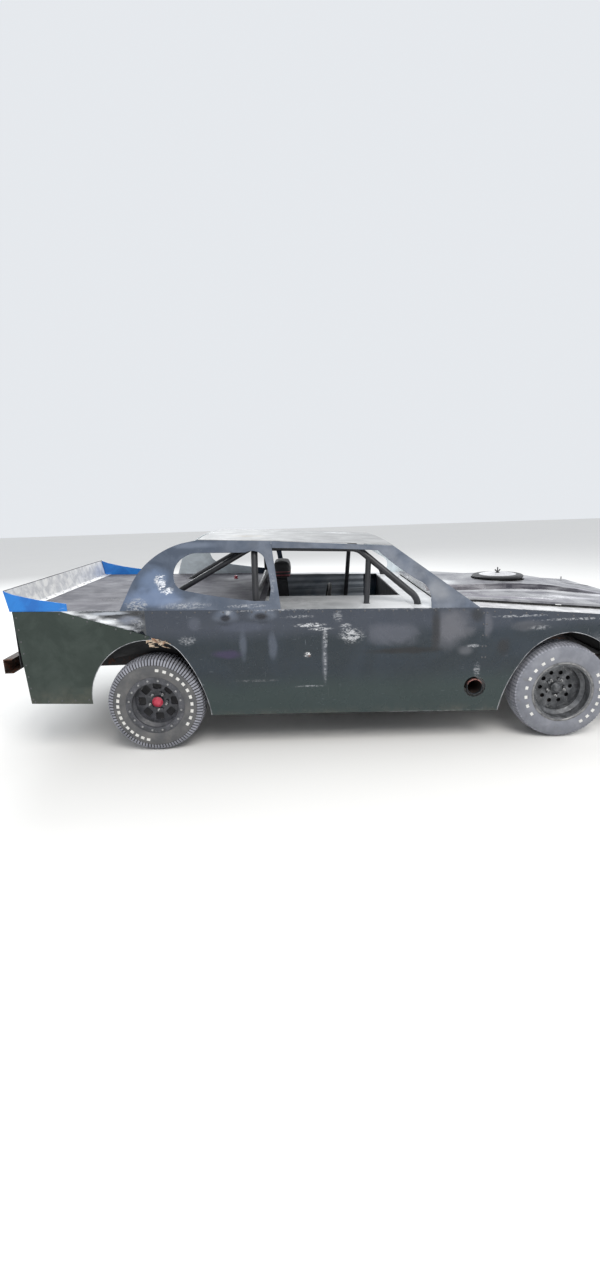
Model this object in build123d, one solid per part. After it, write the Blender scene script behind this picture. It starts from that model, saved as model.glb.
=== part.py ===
import os

from build123d import *

os.makedirs("parts", exist_ok=True)

# A stripped oval-track coupe, millimetres. X runs forward, Y to the car's left, Z up.
# The working frame has X = 0 at the rear axle; every part is shifted at export so that
# the row's origin is the middle of the whole car's footprint on the ground.

# Driving dimensions: wheels and stance
WHEELBASE = 2745.0
TYRE_R = 330.0
TYRE_WIDTH = 235.0
TYRE_PROUD = 15.0
RIM_LIP_R = 209.0
RIM_WIDTH = 215.0
FRONT_RIM_DISH = 118.0
REAR_RIM_DISH = 96.0
RIM_DISC = 8.0
BEAD_R = 190.0
FIT = 0.3

# Driving dimensions: body envelope
BODY_HALF = 950.0
TYRE_FACE_Y = BODY_HALF + TYRE_PROUD
SHEET = 3.0
SILL_LINE_Z = 979.0
SILL_RAKE = 0.024
TAIL_X = -880.0
NOSE_X = WHEELBASE + 815
REAR_BUMPER_X = TAIL_X - 180
FRONT_BUMPER_X = NOSE_X + 100
BODY_SEAM_X = WHEELBASE - 545
HOOD_REAR_X = WHEELBASE - 800
HOOD_FRONT_X = NOSE_X - 60
NOSE_TOP_Z = 800.0
ARCH_SEAM_Z = 560.0
SEAM_GAP = 0.2
GREENHOUSE_LEAN = 234.0 / 410.0
ROOF_FRONT_X = HOOD_REAR_X - 313
ROOF_SEAM_X = 815.0
ROOF_SPAN = ROOF_FRONT_X - ROOF_SEAM_X
ROOF_MID_X = ROOF_SEAM_X + ROOF_SPAN * 585 / 817
ROOF_BAND_X = ROOF_SEAM_X + ROOF_SPAN * 394 / 817
LIGHT_FRONT_X = ROOF_FRONT_X - 106

# Driving dimensions: roof and tail
ROOF_CROWN = 16.0
SPOILER_HEIGHT = 136.0
SPOILER_LEAN = 22.0

# Driving dimensions: cage, frame and cockpit
TUBE_R = 22.25
BRACE_R = 19.0
CAGE_GAP = 4.0
CAGE_Y = BODY_HALF - 168
HOOP_X = 700.0
RAIL_HALF_WIDTH = 38.0
RAIL_HALF_HEIGHT = 50.0
RAIL_Y = BODY_HALF - 390
RAIL_Z = 265.0
SEAT_Y = RAIL_Y - 210
TIN_INNER_Y = BODY_HALF - 520

# Driving dimensions: steering and exhaust
KINGPIN_INSET = 88.0
AXLE_TUBE_R = 38.0
HUB_R = 60.0
STEERING_WHEEL_R = 168.0
EXHAUST_X = WHEELBASE - 595
EXHAUST_Z = 387.0
EXHAUST_R = 52.0
EXHAUST_HOLE_R = 72.0
EXHAUST_TAIL_Y = BODY_HALF - 150
PIPE_WALL = 3.0
KINGPIN_R = 24.0
KINGPIN_HALF = 88.0
ARM_THICK = 26.0
ARM_NOSE_R = 22.0
BRAKE_DISC_R = 135.0
BRAKE_DISC_GAP = 30.0

WHEEL_Y = TYRE_FACE_Y - TYRE_WIDTH / 2
KINGPIN_Y = WHEEL_Y - KINGPIN_INSET
MID_X = (REAR_BUMPER_X + FRONT_BUMPER_X) / 2


# Shared helpers
def sill_z(x):
    """Height of the body's top line, which falls toward the front."""
    return SILL_LINE_Z - SILL_RAKE * x


def fender_z(x):
    """Height of the fender's top edge, from the body seam to the nose."""
    start = sill_z(BODY_SEAM_X)
    share = (x - BODY_SEAM_X) / (NOSE_X - BODY_SEAM_X)
    return start + (NOSE_TOP_Z - start) * share


def top_line_z(x):
    return sill_z(x) if x <= BODY_SEAM_X else fender_z(x)


def traced(rows, lift):
    """A planar face from rows of (x, z) corners or (x, z, via x, via z) arc ends."""
    edges = []
    start = rows[-1][:2]
    for row in rows:
        end = row[:2]
        if len(row) == 4:
            edges.append(ThreePointArc(lift(*start), lift(*row[2:]), lift(*end)))
        else:
            edges.append(Line(lift(*start), lift(*end)))
        start = end
    return make_face(Wire(edges))


def upright(rows, y_low, thickness):
    """A sheet that stands in an XZ plane, from y_low outward."""
    face = traced(rows, lambda x, z: Vector(x, y_low, z))
    return extrude(face, thickness, dir=(0, 1, 0))


def slanted(rows, inset=0.0):
    """A sheet in the left greenhouse side, which leans in toward the roof."""

    def lift(x, z):
        return Vector(x, BODY_HALF - (z - sill_z(x)) * GREENHOUSE_LEAN, z)

    inward = Vector(-SILL_RAKE * GREENHOUSE_LEAN, -1, -GREENHOUSE_LEAN).normalized()
    sheet = extrude(traced(rows, lift), SHEET, dir=inward)
    below = [(TAIL_X, 0), (NOSE_X, 0), (NOSE_X, sill_z(NOSE_X)), (TAIL_X, sill_z(TAIL_X))]
    sheet = sheet.moved(Location(inward * inset)) if inset else sheet
    return sheet - upright(below, 0, 2 * BODY_HALF)


def box(x_low, x_high, y_low, y_high, z_low, z_high):
    size = (x_high - x_low, y_high - y_low, z_high - z_low)
    middle = ((x_low + x_high) / 2, (y_low + y_high) / 2, (z_low + z_high) / 2)
    return Pos(*middle) * Box(*size)


def rod(start, end, radius):
    """A round bar between two points."""
    a, b = Vector(*start), Vector(*end)
    plane = Plane(origin=a, z_dir=b - a)
    return extrude(plane * Circle(radius), (b - a).length)


def bent_tube(points, radius, bend):
    """A round tube along straight runs joined by tangent bends."""
    path = FilletPolyline(*points, radius=bend)
    start = Plane(origin=path @ 0, z_dir=path % 0)
    return sweep(start * Circle(radius), path=path)


def both_sides(shape):
    return Part() + shape + mirror(shape, about=Plane.XZ)


def cross_axis(x, z, y):
    """A plane at the given point whose normal runs to the car's left."""
    return Plane(origin=(x, y, z), x_dir=(1, 0, 0), z_dir=(0, 1, 0))


def save(shape, name):
    export_step(shape.moved(Location((-MID_X, 0, 0))), f"parts/{name}.step")


# Wheels
def tyre(x, side):
    """A radial tyre: beads inside the rim's lips, bulged walls and a crowned tread."""
    half = TYRE_WIDTH / 2
    bead = RIM_WIDTH / 2 - 8 - FIT
    foot = RIM_LIP_R + 2
    shoulder, tread = TYRE_R - 12, half - 22
    bulge_r = (foot + TYRE_R) / 2 - 6
    wall = ThreePointArc((bead, foot), (half, bulge_r), (tread, shoulder))
    crown = ThreePointArc((tread, shoulder), (0, TYRE_R), (-tread, shoulder))
    back = ThreePointArc((-tread, shoulder), (-half, bulge_r), (-bead, foot))
    base = Polyline((-bead, foot), (-bead, BEAD_R), (bead, BEAD_R), (bead, foot))
    ring = revolve(make_face(Wire([wall, crown, back] + base.edges())), axis=Axis.X)
    return ring.rotate(Axis.Z, 90).moved(Location((x, side * WHEEL_Y, TYRE_R)))


def rim(x, side, dish, windows, window_ring_r, window):
    """A deep steel rim: rolled barrel, disc with its cut-outs and a hub cap."""
    half = RIM_WIDTH / 2
    wall = 6.0
    bead = BEAD_R - FIT
    profile = [
        (half, RIM_LIP_R), (half - 5, RIM_LIP_R), (half - 8, bead), (half - 60, bead - 2),
        (half - 80, bead - 26), (-half + 60, bead - 26), (-half + 40, bead - 2),
        (-half + 8, bead), (-half + 5, RIM_LIP_R), (-half, RIM_LIP_R),
        (-half, bead - wall), (-half + 42, bead - wall - 2), (-half + 62, bead - 26 - wall),
        (half - 82, bead - 26 - wall), (half - 62, bead - wall - 2), (half, bead - wall),
    ]
    barrel = revolve(make_face(Polyline(*profile, close=True)), axis=Axis.X)
    disc_x = half - dish
    inner, outer = Plane.YZ.offset(disc_x - RIM_DISC), Plane.YZ.offset(disc_x)
    disc = extrude(inner * Circle(bead - 26 - wall + 1), RIM_DISC)
    for spot in PolarLocations(window_ring_r, windows):
        disc -= extrude(inner * spot * window, RIM_DISC)
    wheel = barrel + disc + extrude(outer * Circle(38), 26)
    for spot in PolarLocations(60, 5):
        wheel += extrude(outer * spot * RegularPolygon(11, 6), 18)
    turned = wheel.rotate(Axis.Z, 90 * side)
    return turned.moved(Location((x, side * WHEEL_Y, TYRE_R)))


def front_rim(side):
    return rim(WHEELBASE, side, FRONT_RIM_DISH, 10, 104.0, Circle(15))


def rear_rim(side):
    spoke_window = RectangleRounded(52, 58, 12)
    return rim(0.0, side, REAR_RIM_DISH, 8, 112.0, spoke_window)


# Body sides
def rear_arch(forward):
    """Arc ends and vias of the rear arch, forward or rearward of its top."""
    if forward:
        return [(-11, 784), (197, 696, 104, 765), (376, 247, 316, 480)]
    return [(-416, 356), (-11, 784, -298, 665)]


def side_sheet():
    """The long door sheet, from the rear arch to the front one, with the exhaust hole."""
    rows = [(-11, sill_z(-11)), (-11, 784)] + rear_arch(True)[1:]
    rows += [(1311, 234), (WHEELBASE - 435, 214)]
    rows += [(WHEELBASE - 287, ARCH_SEAM_Z, WHEELBASE - 381, 390), (BODY_SEAM_X, ARCH_SEAM_Z)]
    rows += [(BODY_SEAM_X, sill_z(BODY_SEAM_X))]
    sheet = upright(rows, BODY_HALF - SHEET, SHEET)
    hole = cross_axis(EXHAUST_X, EXHAUST_Z, BODY_HALF - 2 * SHEET) * Circle(EXHAUST_HOLE_R)
    return sheet - extrude(hole, 4 * SHEET)


def quarter_skin():
    """The crumpled upper quarter above the flat repair sheet."""
    rows = [(-11, sill_z(-11)), (TAIL_X + 20, sill_z(TAIL_X + 20)), (TAIL_X + 20, 850)]
    rows += [(-250, 800), (-11, 784, -120, 790)]
    return upright(rows, BODY_HALF - SHEET, SHEET)


def quarter_sheet():
    """The flat repair sheet that laps over the quarter behind the wheel."""
    rows = [(-552, sill_z(-552) - 1), (-862, sill_z(-862) - 1), (-825, 371)]
    rows += rear_arch(False) + [(11, 805), (-115, 850), (-303, 909)]
    return upright(rows, BODY_HALF, SHEET)


def fender():
    """The front fender over the wheel, from the body seam to the nose."""
    front_low = NOSE_X - 60
    rear_x, seam_z = WHEELBASE - 287 + SEAM_GAP, ARCH_SEAM_Z + SEAM_GAP
    rows = [(BODY_SEAM_X, seam_z), (rear_x, seam_z), (WHEELBASE + 20, 743, WHEELBASE - 167, 682)]
    rows += [(WHEELBASE + 327, 560, WHEELBASE + 205, 682)]
    rows += [(WHEELBASE + 475, 262, WHEELBASE + 421, 390), (front_low, 330)]
    rows += [(NOSE_X, NOSE_TOP_Z), (BODY_SEAM_X, sill_z(BODY_SEAM_X))]
    return upright(rows, BODY_HALF - SHEET, SHEET)


def sail_panel():
    rows = [(-170, sill_z(-170)), (-100, 1148), (217, 1384, 12, 1284), (324, 1402)]
    rows += [(ROOF_SEAM_X, 1380), (873, sill_z(873))]
    window = [(809, 1081), (775, 1258, 800, 1160), (646, 1313, 738, 1308), (325, 1320)]
    window += [(242, 1300, 280, 1316), (175, 1164, 180, 1236), (240, 1092, 196, 1118)]
    window += [(374, 1064), (703, 1013, 540, 1036), (797, 1012)]
    cutter = slanted(window, -2 * SHEET)
    cutter += slanted(window, -SHEET) + slanted(window) + slanted(window, SHEET)
    return slanted(rows) - cutter


def pillar_panel():
    low_rear, low_front = HOOD_REAR_X - 97, HOOD_REAR_X + 220
    rows = [(ROOF_FRONT_X, 1325), (LIGHT_FRONT_X, 1300)]
    rows += [(HOOD_REAR_X - 166, 1105, HOOD_REAR_X - 295, 1194)]
    rows += [(HOOD_REAR_X - 94, 990, HOOD_REAR_X - 107, 1058)]
    rows += [(low_rear, sill_z(low_rear)), (low_front, sill_z(low_front))]
    return slanted(rows)


def roof_band():
    """The folded side of the roof between the sail panel and the front pillar."""
    rows = [(ROOF_SEAM_X + SEAM_GAP, 1380), (ROOF_SEAM_X + 8 + SEAM_GAP, 1336), (ROOF_BAND_X, 1320)]
    rows += [(LIGHT_FRONT_X - SEAM_GAP, 1300), (ROOF_FRONT_X - SEAM_GAP, 1325)]
    return slanted(rows)


def roof_panel():
    """A crowned roof skin through stations of (x, edge height, crown share)."""
    stations = [(324, 1402, 0.8), (ROOF_SEAM_X, 1380, 1.0), (ROOF_MID_X, 1345, 1.0)]
    stations += [(ROOF_FRONT_X, 1325, 0.7)]
    sections = []
    for x, edge_z, share in stations:
        half = BODY_HALF - (edge_z - sill_z(x)) * GREENHOUSE_LEAN
        top = edge_z + FIT + SHEET
        crown = ROOF_CROWN * share
        upper = ThreePointArc((x, -half, top), (x, 0, top + crown), (x, half, top))
        lower = ThreePointArc((x, half, top - SHEET), (x, 0, top - SHEET + crown), (x, -half, top - SHEET))
        sides = [Line(upper @ 1, lower @ 0), Line(lower @ 1, upper @ 0)]
        sections.append(make_face(Wire([upper, sides[0], lower, sides[1]])))
    return loft(sections, ruled=True)


# Decks and tail
INNER_HALF = BODY_HALF - SHEET - FIT


def deck_sheet(x_low, x_high, y_low, y_high):
    """A flat sheet just under the body's top line."""
    rows = [(x_low, sill_z(x_low) - SHEET), (x_low, sill_z(x_low))]
    rows += [(x_high, sill_z(x_high)), (x_high, sill_z(x_high) - SHEET)]
    return upright(rows, y_low, y_high - y_low)


DECK_SEAM_Y = -250.0
LEFT_DECK_WIDTH = 110.0
DECK_FRONT_X = HOOP_X + TUBE_R
DASH_X = HOOD_REAR_X - 209
DASH_LOW = 620.0


def rear_decks():
    """Two flat sheets that meet at a fore-and-aft seam, cut round the cage."""
    left = deck_sheet(TAIL_X + 20, DECK_FRONT_X + 30, DECK_SEAM_Y + 1, INNER_HALF)
    right = deck_sheet(TAIL_X + 20, DECK_FRONT_X + 30, -INNER_HALF, DECK_SEAM_Y - 1)
    return left + right


def interior_decks():
    """The wide right-hand cockpit deck and the narrow one beside the driver."""
    low = DECK_FRONT_X + 31
    right = deck_sheet(low, HOOD_REAR_X - 210, -INNER_HALF, -TIN_INNER_Y)
    left = deck_sheet(low, HOOD_REAR_X - 210, INNER_HALF - LEFT_DECK_WIDTH, INNER_HALF)
    return right + left


def cowl_dash():
    """The cowl sheet ahead of the cockpit with the dash face folded down from it."""
    rear = DASH_X
    top = deck_sheet(rear, HOOD_REAR_X - 6, -INNER_HALF, INNER_HALF)
    face = box(rear, rear + SHEET, -INNER_HALF + 120, INNER_HALF - 120, DASH_LOW, sill_z(rear) - 1)
    return top + face


def inner_skin():
    """The ribbed inner sheet of the left door, seen across the cockpit."""
    low, high = HOOP_X + 80, HOOD_REAR_X - 330
    y = INNER_HALF - LEFT_DECK_WIDTH
    rows = [(low, 420), (high, 420), (high, sill_z(high) - SHEET), (low, sill_z(low) - SHEET)]
    skin = upright(rows, y, SHEET)
    for z in (560, 680, 800):
        skin += box(low, high, y - 9, y, z, z + 26)
    return skin


def tail_panel():
    rows = [(-INNER_HALF, sill_z(TAIL_X) - 1), (INNER_HALF, sill_z(TAIL_X) - 1)]
    rows += [(INNER_HALF, REAR_RAIL_TOP + 8), (-INNER_HALF, REAR_RAIL_TOP + 8)]
    face = make_face(Polyline(*[(TAIL_X + 20 - SHEET - FIT, y, z) for y, z in rows], close=True))
    return extrude(face, SHEET, dir=(1, 0, 0))


def spoiler():
    """An upright plate across the tail with a flange bolted to the deck."""
    front, back = TAIL_X + 60, TAIL_X
    top = sill_z(back) + SPOILER_HEIGHT
    rows = [
        (front, sill_z(front)), (front, sill_z(front) + SHEET),
        (back + SHEET, sill_z(back) + SHEET), (back + SHEET - SPOILER_LEAN, top),
        (back - SPOILER_LEAN, top), (back, sill_z(back)),
    ]
    half = INNER_HALF - SHEET - 2 * FIT
    return upright(rows, -half, 2 * half)


def spoiler_dam():
    """The tapered side plate that stands on the deck's edge ahead of the spoiler."""
    rear = TAIL_X - SPOILER_LEAN
    rows = [(-508, sill_z(-508)), (-508, 1040), (-695, 1073), (-844, 1111)]
    rows += [(rear, sill_z(TAIL_X) + SPOILER_HEIGHT), (TAIL_X, sill_z(TAIL_X))]
    return upright(rows, INNER_HALF - SHEET - FIT, SHEET)


# Front sheet metal
HOOD_HALF = BODY_HALF - 205
FENDER_TOP_Y = HOOD_HALF - 10
HOOD_RISE = 30.0
HOOD_FOLD = 14.0
BULGE_HALF = 320.0
BULGE_SLOPE = 22.0
HOOD_HOLE_R = 222.0
HOOD_PIN_R = 6.0
HOOD_PIN_HOLE_R = 12.0
HOOD_PIN_Y = HOOD_HALF - 105
HOOD_PINS = [(HOOD_REAR_X + 65, 20.0), (HOOD_FRONT_X - 80, 16.0)]

# Hood stations: x, height of the flat part near the bulge, rise of the bulge
HOOD_STATIONS = [
    (HOOD_REAR_X, 950, 35), (WHEELBASE - 235, 947, 37), (WHEELBASE + 68, 936, 34),
    (WHEELBASE + 221, 916, 30), (WHEELBASE + 375, 896, 19), (WHEELBASE + 507, 879, 7),
    (HOOD_FRONT_X, 838, 3),
]


def fender_tops():
    low = HOOD_REAR_X - 6 + FIT
    rows = [(low, sill_z(low)), (BODY_SEAM_X, sill_z(BODY_SEAM_X)), (NOSE_X - SHEET, NOSE_TOP_Z)]
    rows += [(x, z - SHEET) for x, z in reversed(rows)]
    return both_sides(upright(rows, FENDER_TOP_Y, INNER_HALF - FENDER_TOP_Y))


def hood_section(x, base, bulge):
    edge = top_line_z(x) + HOOD_RISE
    foot = BULGE_HALF + BULGE_SLOPE
    half = [(HOOD_HALF, edge - HOOD_FOLD), (HOOD_HALF, edge), (foot, base), (BULGE_HALF, base + bulge)]
    inner = [
        (BULGE_HALF - 2, base + bulge - SHEET), (foot - 2, base - SHEET),
        (HOOD_HALF - SHEET, edge - SHEET), (HOOD_HALF - SHEET, edge - HOOD_FOLD),
    ]
    outline = half + [(-y, z) for y, z in reversed(half)]
    outline += [(-y, z) for y, z in reversed(inner)] + inner
    return make_face(Polyline(*[(x, y, z) for y, z in outline], close=True))


def hood_surface_z(x, y):
    """Height of the hood's top skin at a point off the bulge."""
    rows = HOOD_STATIONS
    for (x0, b0, _), (x1, b1, _) in zip(rows, rows[1:]):
        if x0 <= x <= x1:
            base = b0 + (b1 - b0) * (x - x0) / (x1 - x0)
            edge = top_line_z(x) + HOOD_RISE
            share = (abs(y) - BULGE_HALF - BULGE_SLOPE) / (HOOD_HALF - BULGE_HALF - BULGE_SLOPE)
            return base + (edge - base) * share
    return None


def hood():
    """The lift-off hood with its raised centre, air cleaner hole and pin holes."""
    panel = loft([hood_section(*row) for row in HOOD_STATIONS], ruled=True)
    panel -= Pos(AIR_X, 0, 950) * Cylinder(HOOD_HOLE_R, 300)
    for x, _ in HOOD_PINS:
        for y in (-HOOD_PIN_Y, HOOD_PIN_Y):
            panel -= Pos(x, y, 900) * Cylinder(HOOD_PIN_HOLE_R, 300)
    return panel


def hood_pins():
    """Four posts on outriggers, each with a shoulder washer under the hood."""
    posts = Part()
    for x, above in HOOD_PINS:
        skin = hood_surface_z(x, HOOD_PIN_Y) - SHEET
        seat = skin - 2.6
        for side in (-1, 1):
            y = side * HOOD_PIN_Y
            posts += Pos(x, y, 0) * extrude(Plane.XY.offset(seat - 3) * Circle(16), 3)
            posts += Pos(x, y, 0) * extrude(Plane.XY.offset(seat - 60) * Circle(HOOD_PIN_R), 60 + 22 + above)
            arm_low, arm_high = sorted((side * (HOOD_PIN_Y - 10), side * (FENDER_TOP_Y + 30)))
            z = top_line_z(x) - SHEET
            posts += box(x - 14, x + 14, arm_low, arm_high, seat - 66, seat - 60)
            wall_low, wall_high = sorted((side * (FENDER_TOP_Y + 27), side * (FENDER_TOP_Y + 30)))
            posts += box(x - 14, x + 14, wall_low, wall_high, seat - 66, z - 2)
    return posts


def nose_panel():
    """The upright nose sheet with its cooling slots and a header lip to the hood."""
    low, high = 575.0, NOSE_TOP_Z
    panel = box(NOSE_X - SHEET, NOSE_X, -INNER_HALF, INNER_HALF, low, high)
    for z in (610, 670, 730):
        panel -= box(NOSE_X - 2 * SHEET, NOSE_X + SHEET, -520, 520, z, z + 34)
    lip_rear = HOOD_FRONT_X + 6
    rows = [(lip_rear, fender_z(lip_rear)), (NOSE_X - SHEET, NOSE_TOP_Z)]
    rows += [(NOSE_X - SHEET, NOSE_TOP_Z - SHEET), (lip_rear, fender_z(lip_rear) - SHEET)]
    half = FENDER_TOP_Y - FIT
    return panel + upright(rows, -half, 2 * half)


# Frame
MID_Z = RAIL_Z + RAIL_HALF_HEIGHT
FRONT_RAIL_Y = 380.0
REAR_RAIL_Y = RAIL_Y - 90
FRONT_KICK_X = WHEELBASE - 665
RAIL_FRONT_X = NOSE_X - 80
RAIL_WIDTH = 2 * RAIL_HALF_WIDTH
FRONT_RAIL_TOP = 420.0
REAR_RAIL_TOP = 610.0
REAR_RAIL_LOW = 505.0
SPRING_SEAT_Z = TYRE_R + 60
OUTRIGGER_Y = CAGE_Y + 45


def frame_rails():
    """A perimeter frame: wide middle rails, narrow front and kicked-up rear ones."""
    low = RAIL_Z - RAIL_HALF_HEIGHT
    kick, horn = FRONT_KICK_X, RAIL_FRONT_X
    middle = box(300, kick + 70, RAIL_Y - RAIL_HALF_WIDTH, RAIL_Y + RAIL_HALF_WIDTH, low, MID_Z)
    front = [(kick, low), (kick + 80, low), (kick + 220, 330), (horn, 330), (horn, FRONT_RAIL_TOP)]
    front += [(kick + 180, FRONT_RAIL_TOP), (kick, MID_Z)]
    rear = [(380, low), (300, low), (180, REAR_RAIL_LOW), (TAIL_X + 30, REAR_RAIL_LOW), (TAIL_X + 30, REAR_RAIL_TOP)]
    rear += [(120, REAR_RAIL_TOP), (380, MID_Z)]
    side = middle + upright(front, FRONT_RAIL_Y, RAIL_WIDTH) + upright(rear, REAR_RAIL_Y, RAIL_WIDTH)
    side += box(kick, kick + 70, FRONT_RAIL_Y, RAIL_Y + RAIL_HALF_WIDTH, low, MID_Z)
    side += box(300, 380, REAR_RAIL_Y, RAIL_Y + RAIL_HALF_WIDTH, low, MID_Z)
    for x in (HOOP_X, A_LEG_X):
        side += box(x - 30, x + 30, RAIL_Y, OUTRIGGER_Y, MID_Z - 60, MID_Z)
    frame = both_sides(side)
    frame += box(kick, kick + 70, -FRONT_RAIL_Y, FRONT_RAIL_Y, low, low + 60)
    frame += box(WHEELBASE - 110, WHEELBASE + 60, -FRONT_RAIL_Y, FRONT_RAIL_Y, 250, 340)
    frame += box(horn - 80, horn - 10, -FRONT_RAIL_Y, FRONT_RAIL_Y, 340, FRONT_RAIL_TOP)
    frame += box(TAIL_X + 30, TAIL_X + 90, -REAR_RAIL_Y, REAR_RAIL_Y, 520, REAR_RAIL_TOP)
    frame += box(300, 370, -REAR_RAIL_Y, REAR_RAIL_Y, low, low + 60)
    return frame


TUNNEL_HALF = 120.0
TUNNEL_REAR_TOP = 430.0
TUNNEL_FRONT_TOP = 575.0
REAR_WALL_X = DECK_FRONT_X + 20
FRONT_WALL_X = HOOD_REAR_X - 12


def tunnel_section(x, top, shrink):
    """One arch of the floor's tunnel over the driveshaft."""
    half, low = TUNNEL_HALF - shrink, MID_Z - shrink
    rows = [(half, low), (half - 15, top - shrink), (-half + 15, top - shrink), (-half, low)]
    return make_face(Polyline(*[(x, y, z) for y, z in rows], close=True))


def tunnel(shrink=0.0):
    rear = tunnel_section(REAR_WALL_X, TUNNEL_REAR_TOP, shrink)
    front = tunnel_section(FRONT_WALL_X + SHEET, TUNNEL_FRONT_TOP, shrink)
    return loft([rear, front])


def floor_pan():
    """The flat floor on the middle rails with a tapered tunnel along its middle."""
    reach = RAIL_Y + 30
    floor = box(REAR_WALL_X, FRONT_WALL_X + SHEET, -reach, reach, MID_Z, MID_Z + SHEET)
    return floor + tunnel() - tunnel(SHEET)


def firewalls():
    """The rear sheet behind the driver and the front one behind the engine."""
    half = INNER_HALF - 116
    walls = Part()
    for x in (REAR_WALL_X, FRONT_WALL_X):
        walls += box(x, x + SHEET, -half, half, MID_Z + SHEET, sill_z(x + SHEET) - SHEET)
    return walls - tunnel()


def tub_side():
    """The upright sheet that closes the right-hand cockpit deck down to the floor."""
    low_x, high_x = REAR_WALL_X + SHEET, HOOD_REAR_X - 212
    rows = [(low_x, MID_Z + SHEET), (high_x, MID_Z + SHEET)]
    rows += [(high_x, sill_z(high_x) - SHEET), (low_x, sill_z(low_x) - SHEET)]
    return upright(rows, -TIN_INNER_Y - 6, SHEET)


def front_bumper():
    """Two bent tubes on the front rails, tied by uprights."""
    tube = 30.0
    reach = FRONT_BUMPER_X - tube
    y = FRONT_RAIL_Y + RAIL_HALF_WIDTH
    bars = Part()
    for z in (375.0, 515.0):
        route = [(RAIL_FRONT_X, -y, z), (reach, -y - 60, z), (reach, y + 60, z), (RAIL_FRONT_X, y, z)]
        bars += bent_tube(route, tube, 60)
    for side in (-1, 1):
        bars += rod((reach, side * 250, 375), (reach, side * 250, 515), 20)
        post_x, post_y = RAIL_FRONT_X + 40, side * (y + 16)
        bars += rod((post_x, post_y, 375), (post_x, post_y, 515), 20)
    return bars - box(RAIL_FRONT_X - 180, RAIL_FRONT_X, -BODY_HALF, BODY_HALF, 200, 700)


def rear_bumper():
    """A rusted channel beam on two stubs off the rear rails."""
    low, high = 540.0, 640.0
    beam = box(REAR_BUMPER_X, REAR_BUMPER_X + 60, -790, 790, low, high)
    beam -= box(REAR_BUMPER_X + 5, REAR_BUMPER_X + 70, -800, 800, low + 5, high - 5)
    for side in (-1, 1):
        inner, outer = sorted((side * REAR_RAIL_Y, side * (REAR_RAIL_Y + RAIL_WIDTH)))
        beam += box(REAR_BUMPER_X + 5, TAIL_X + 30, inner, outer, low + 5, REAR_RAIL_TOP)
    return beam


# Roll cage, as routes of the left side's tubes
A_LEG_X = HOOD_REAR_X - 155
A_LEG_Y = BODY_HALF - 153
HALO_Y = BODY_HALF - 267
HALO_Z = 1310.0
HOOP_TOP_Z = 1345.0
BRACE_Y = BODY_HALF - 350
HOOP_SHOULDER_Y = BODY_HALF - 260
HALO_FRONT_X = HOOD_REAR_X - 545
DOOR_BAR_Z = [640.0, 480.0]
A_BAR_ROUTE = [
    (HOOP_X, HOOP_SHOULDER_Y - 40, HOOP_TOP_Z - 8), (HALO_FRONT_X, HALO_Y, HALO_Z),
    (A_LEG_X, A_LEG_Y, 976), (A_LEG_X, A_LEG_Y, MID_Z),
]
BRACE_ROUTE = [(HOOP_X, BRACE_Y, HOOP_TOP_Z), (-60, BRACE_Y, 935), (-200, REAR_RAIL_Y + 50, REAR_RAIL_TOP)]


def main_hoop(radius=TUBE_R):
    half = [(HOOP_X, -CAGE_Y, MID_Z), (HOOP_X, -CAGE_Y, 990), (HOOP_X, -HOOP_SHOULDER_Y, HOOP_TOP_Z)]
    route = half + [(x, -y, z) for x, y, z in reversed(half)]
    hoop = bent_tube(route, radius, 90)
    for z in (1000, 560):
        hoop += rod((HOOP_X, -CAGE_Y + 6, z), (HOOP_X, CAGE_Y - 6, z), radius)
    return hoop


def a_bars(radius=TUBE_R):
    side = bent_tube(A_BAR_ROUTE, radius, 110)
    bars = both_sides(side)
    cross_x, cross_y, cross_z = HALO_FRONT_X + 20, HALO_Y - 4, HALO_Z - 16
    bars += rod((cross_x, -cross_y, cross_z), (cross_x, cross_y, cross_z), radius)
    return bars + rod((A_LEG_X, -A_LEG_Y, 860), (A_LEG_X, A_LEG_Y, 860), radius)


def window_bars(radius=BRACE_R):
    top = (HALO_FRONT_X + 70, HALO_Y + 22, HALO_Z - 70)
    return both_sides(rod(top, (HALO_FRONT_X + 30, A_LEG_Y - 2, DOOR_BAR_Z[0]), radius))


def rear_braces(radius=BRACE_R):
    return both_sides(bent_tube(BRACE_ROUTE, radius, 90))


def door_bars(radius=BRACE_R):
    bars = Part()
    for z in DOOR_BAR_Z:
        bars += rod((HOOP_X, CAGE_Y, z), (A_LEG_X, A_LEG_Y, z), radius)
    return both_sides(bars)


# Power train
AIR_X = WHEELBASE - 145
AIR_R = 208.0
CARB_TOP = 902.0
STUD_TOP = CARB_TOP + 164
TRANSMISSION_Z = 440.0
ENGINE_REAR = WHEELBASE - 415
ENGINE_FRONT = WHEELBASE + 115
SHAFT_FRONT_X = ENGINE_REAR - 632


def engine_block():
    """A vee block with its covers, intake and carburettor as one mass."""
    rows = [(-170, 345), (170, 345), (230, 470), (330, 690), (235, 770), (150, 690)]
    rows += [(-150, 690), (-235, 770), (-330, 690), (-230, 470)]
    face = make_face(Polyline(*[(ENGINE_REAR, y, z) for y, z in rows], close=True))
    block = extrude(face, ENGINE_FRONT - ENGINE_REAR, dir=(1, 0, 0))
    block += box(AIR_X - 190, AIR_X + 190, -150, 150, 690, 770)
    block += box(AIR_X - 100, AIR_X + 100, -75, 75, 770, CARB_TOP)
    block += Pos(ENGINE_FRONT + 20, 0, 430) * Rotation(0, 90, 0) * Cylinder(90, 40)
    block += box(AIR_X - 60, AIR_X + 40, -FRONT_RAIL_Y, FRONT_RAIL_Y, 400, 420)
    return block


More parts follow.
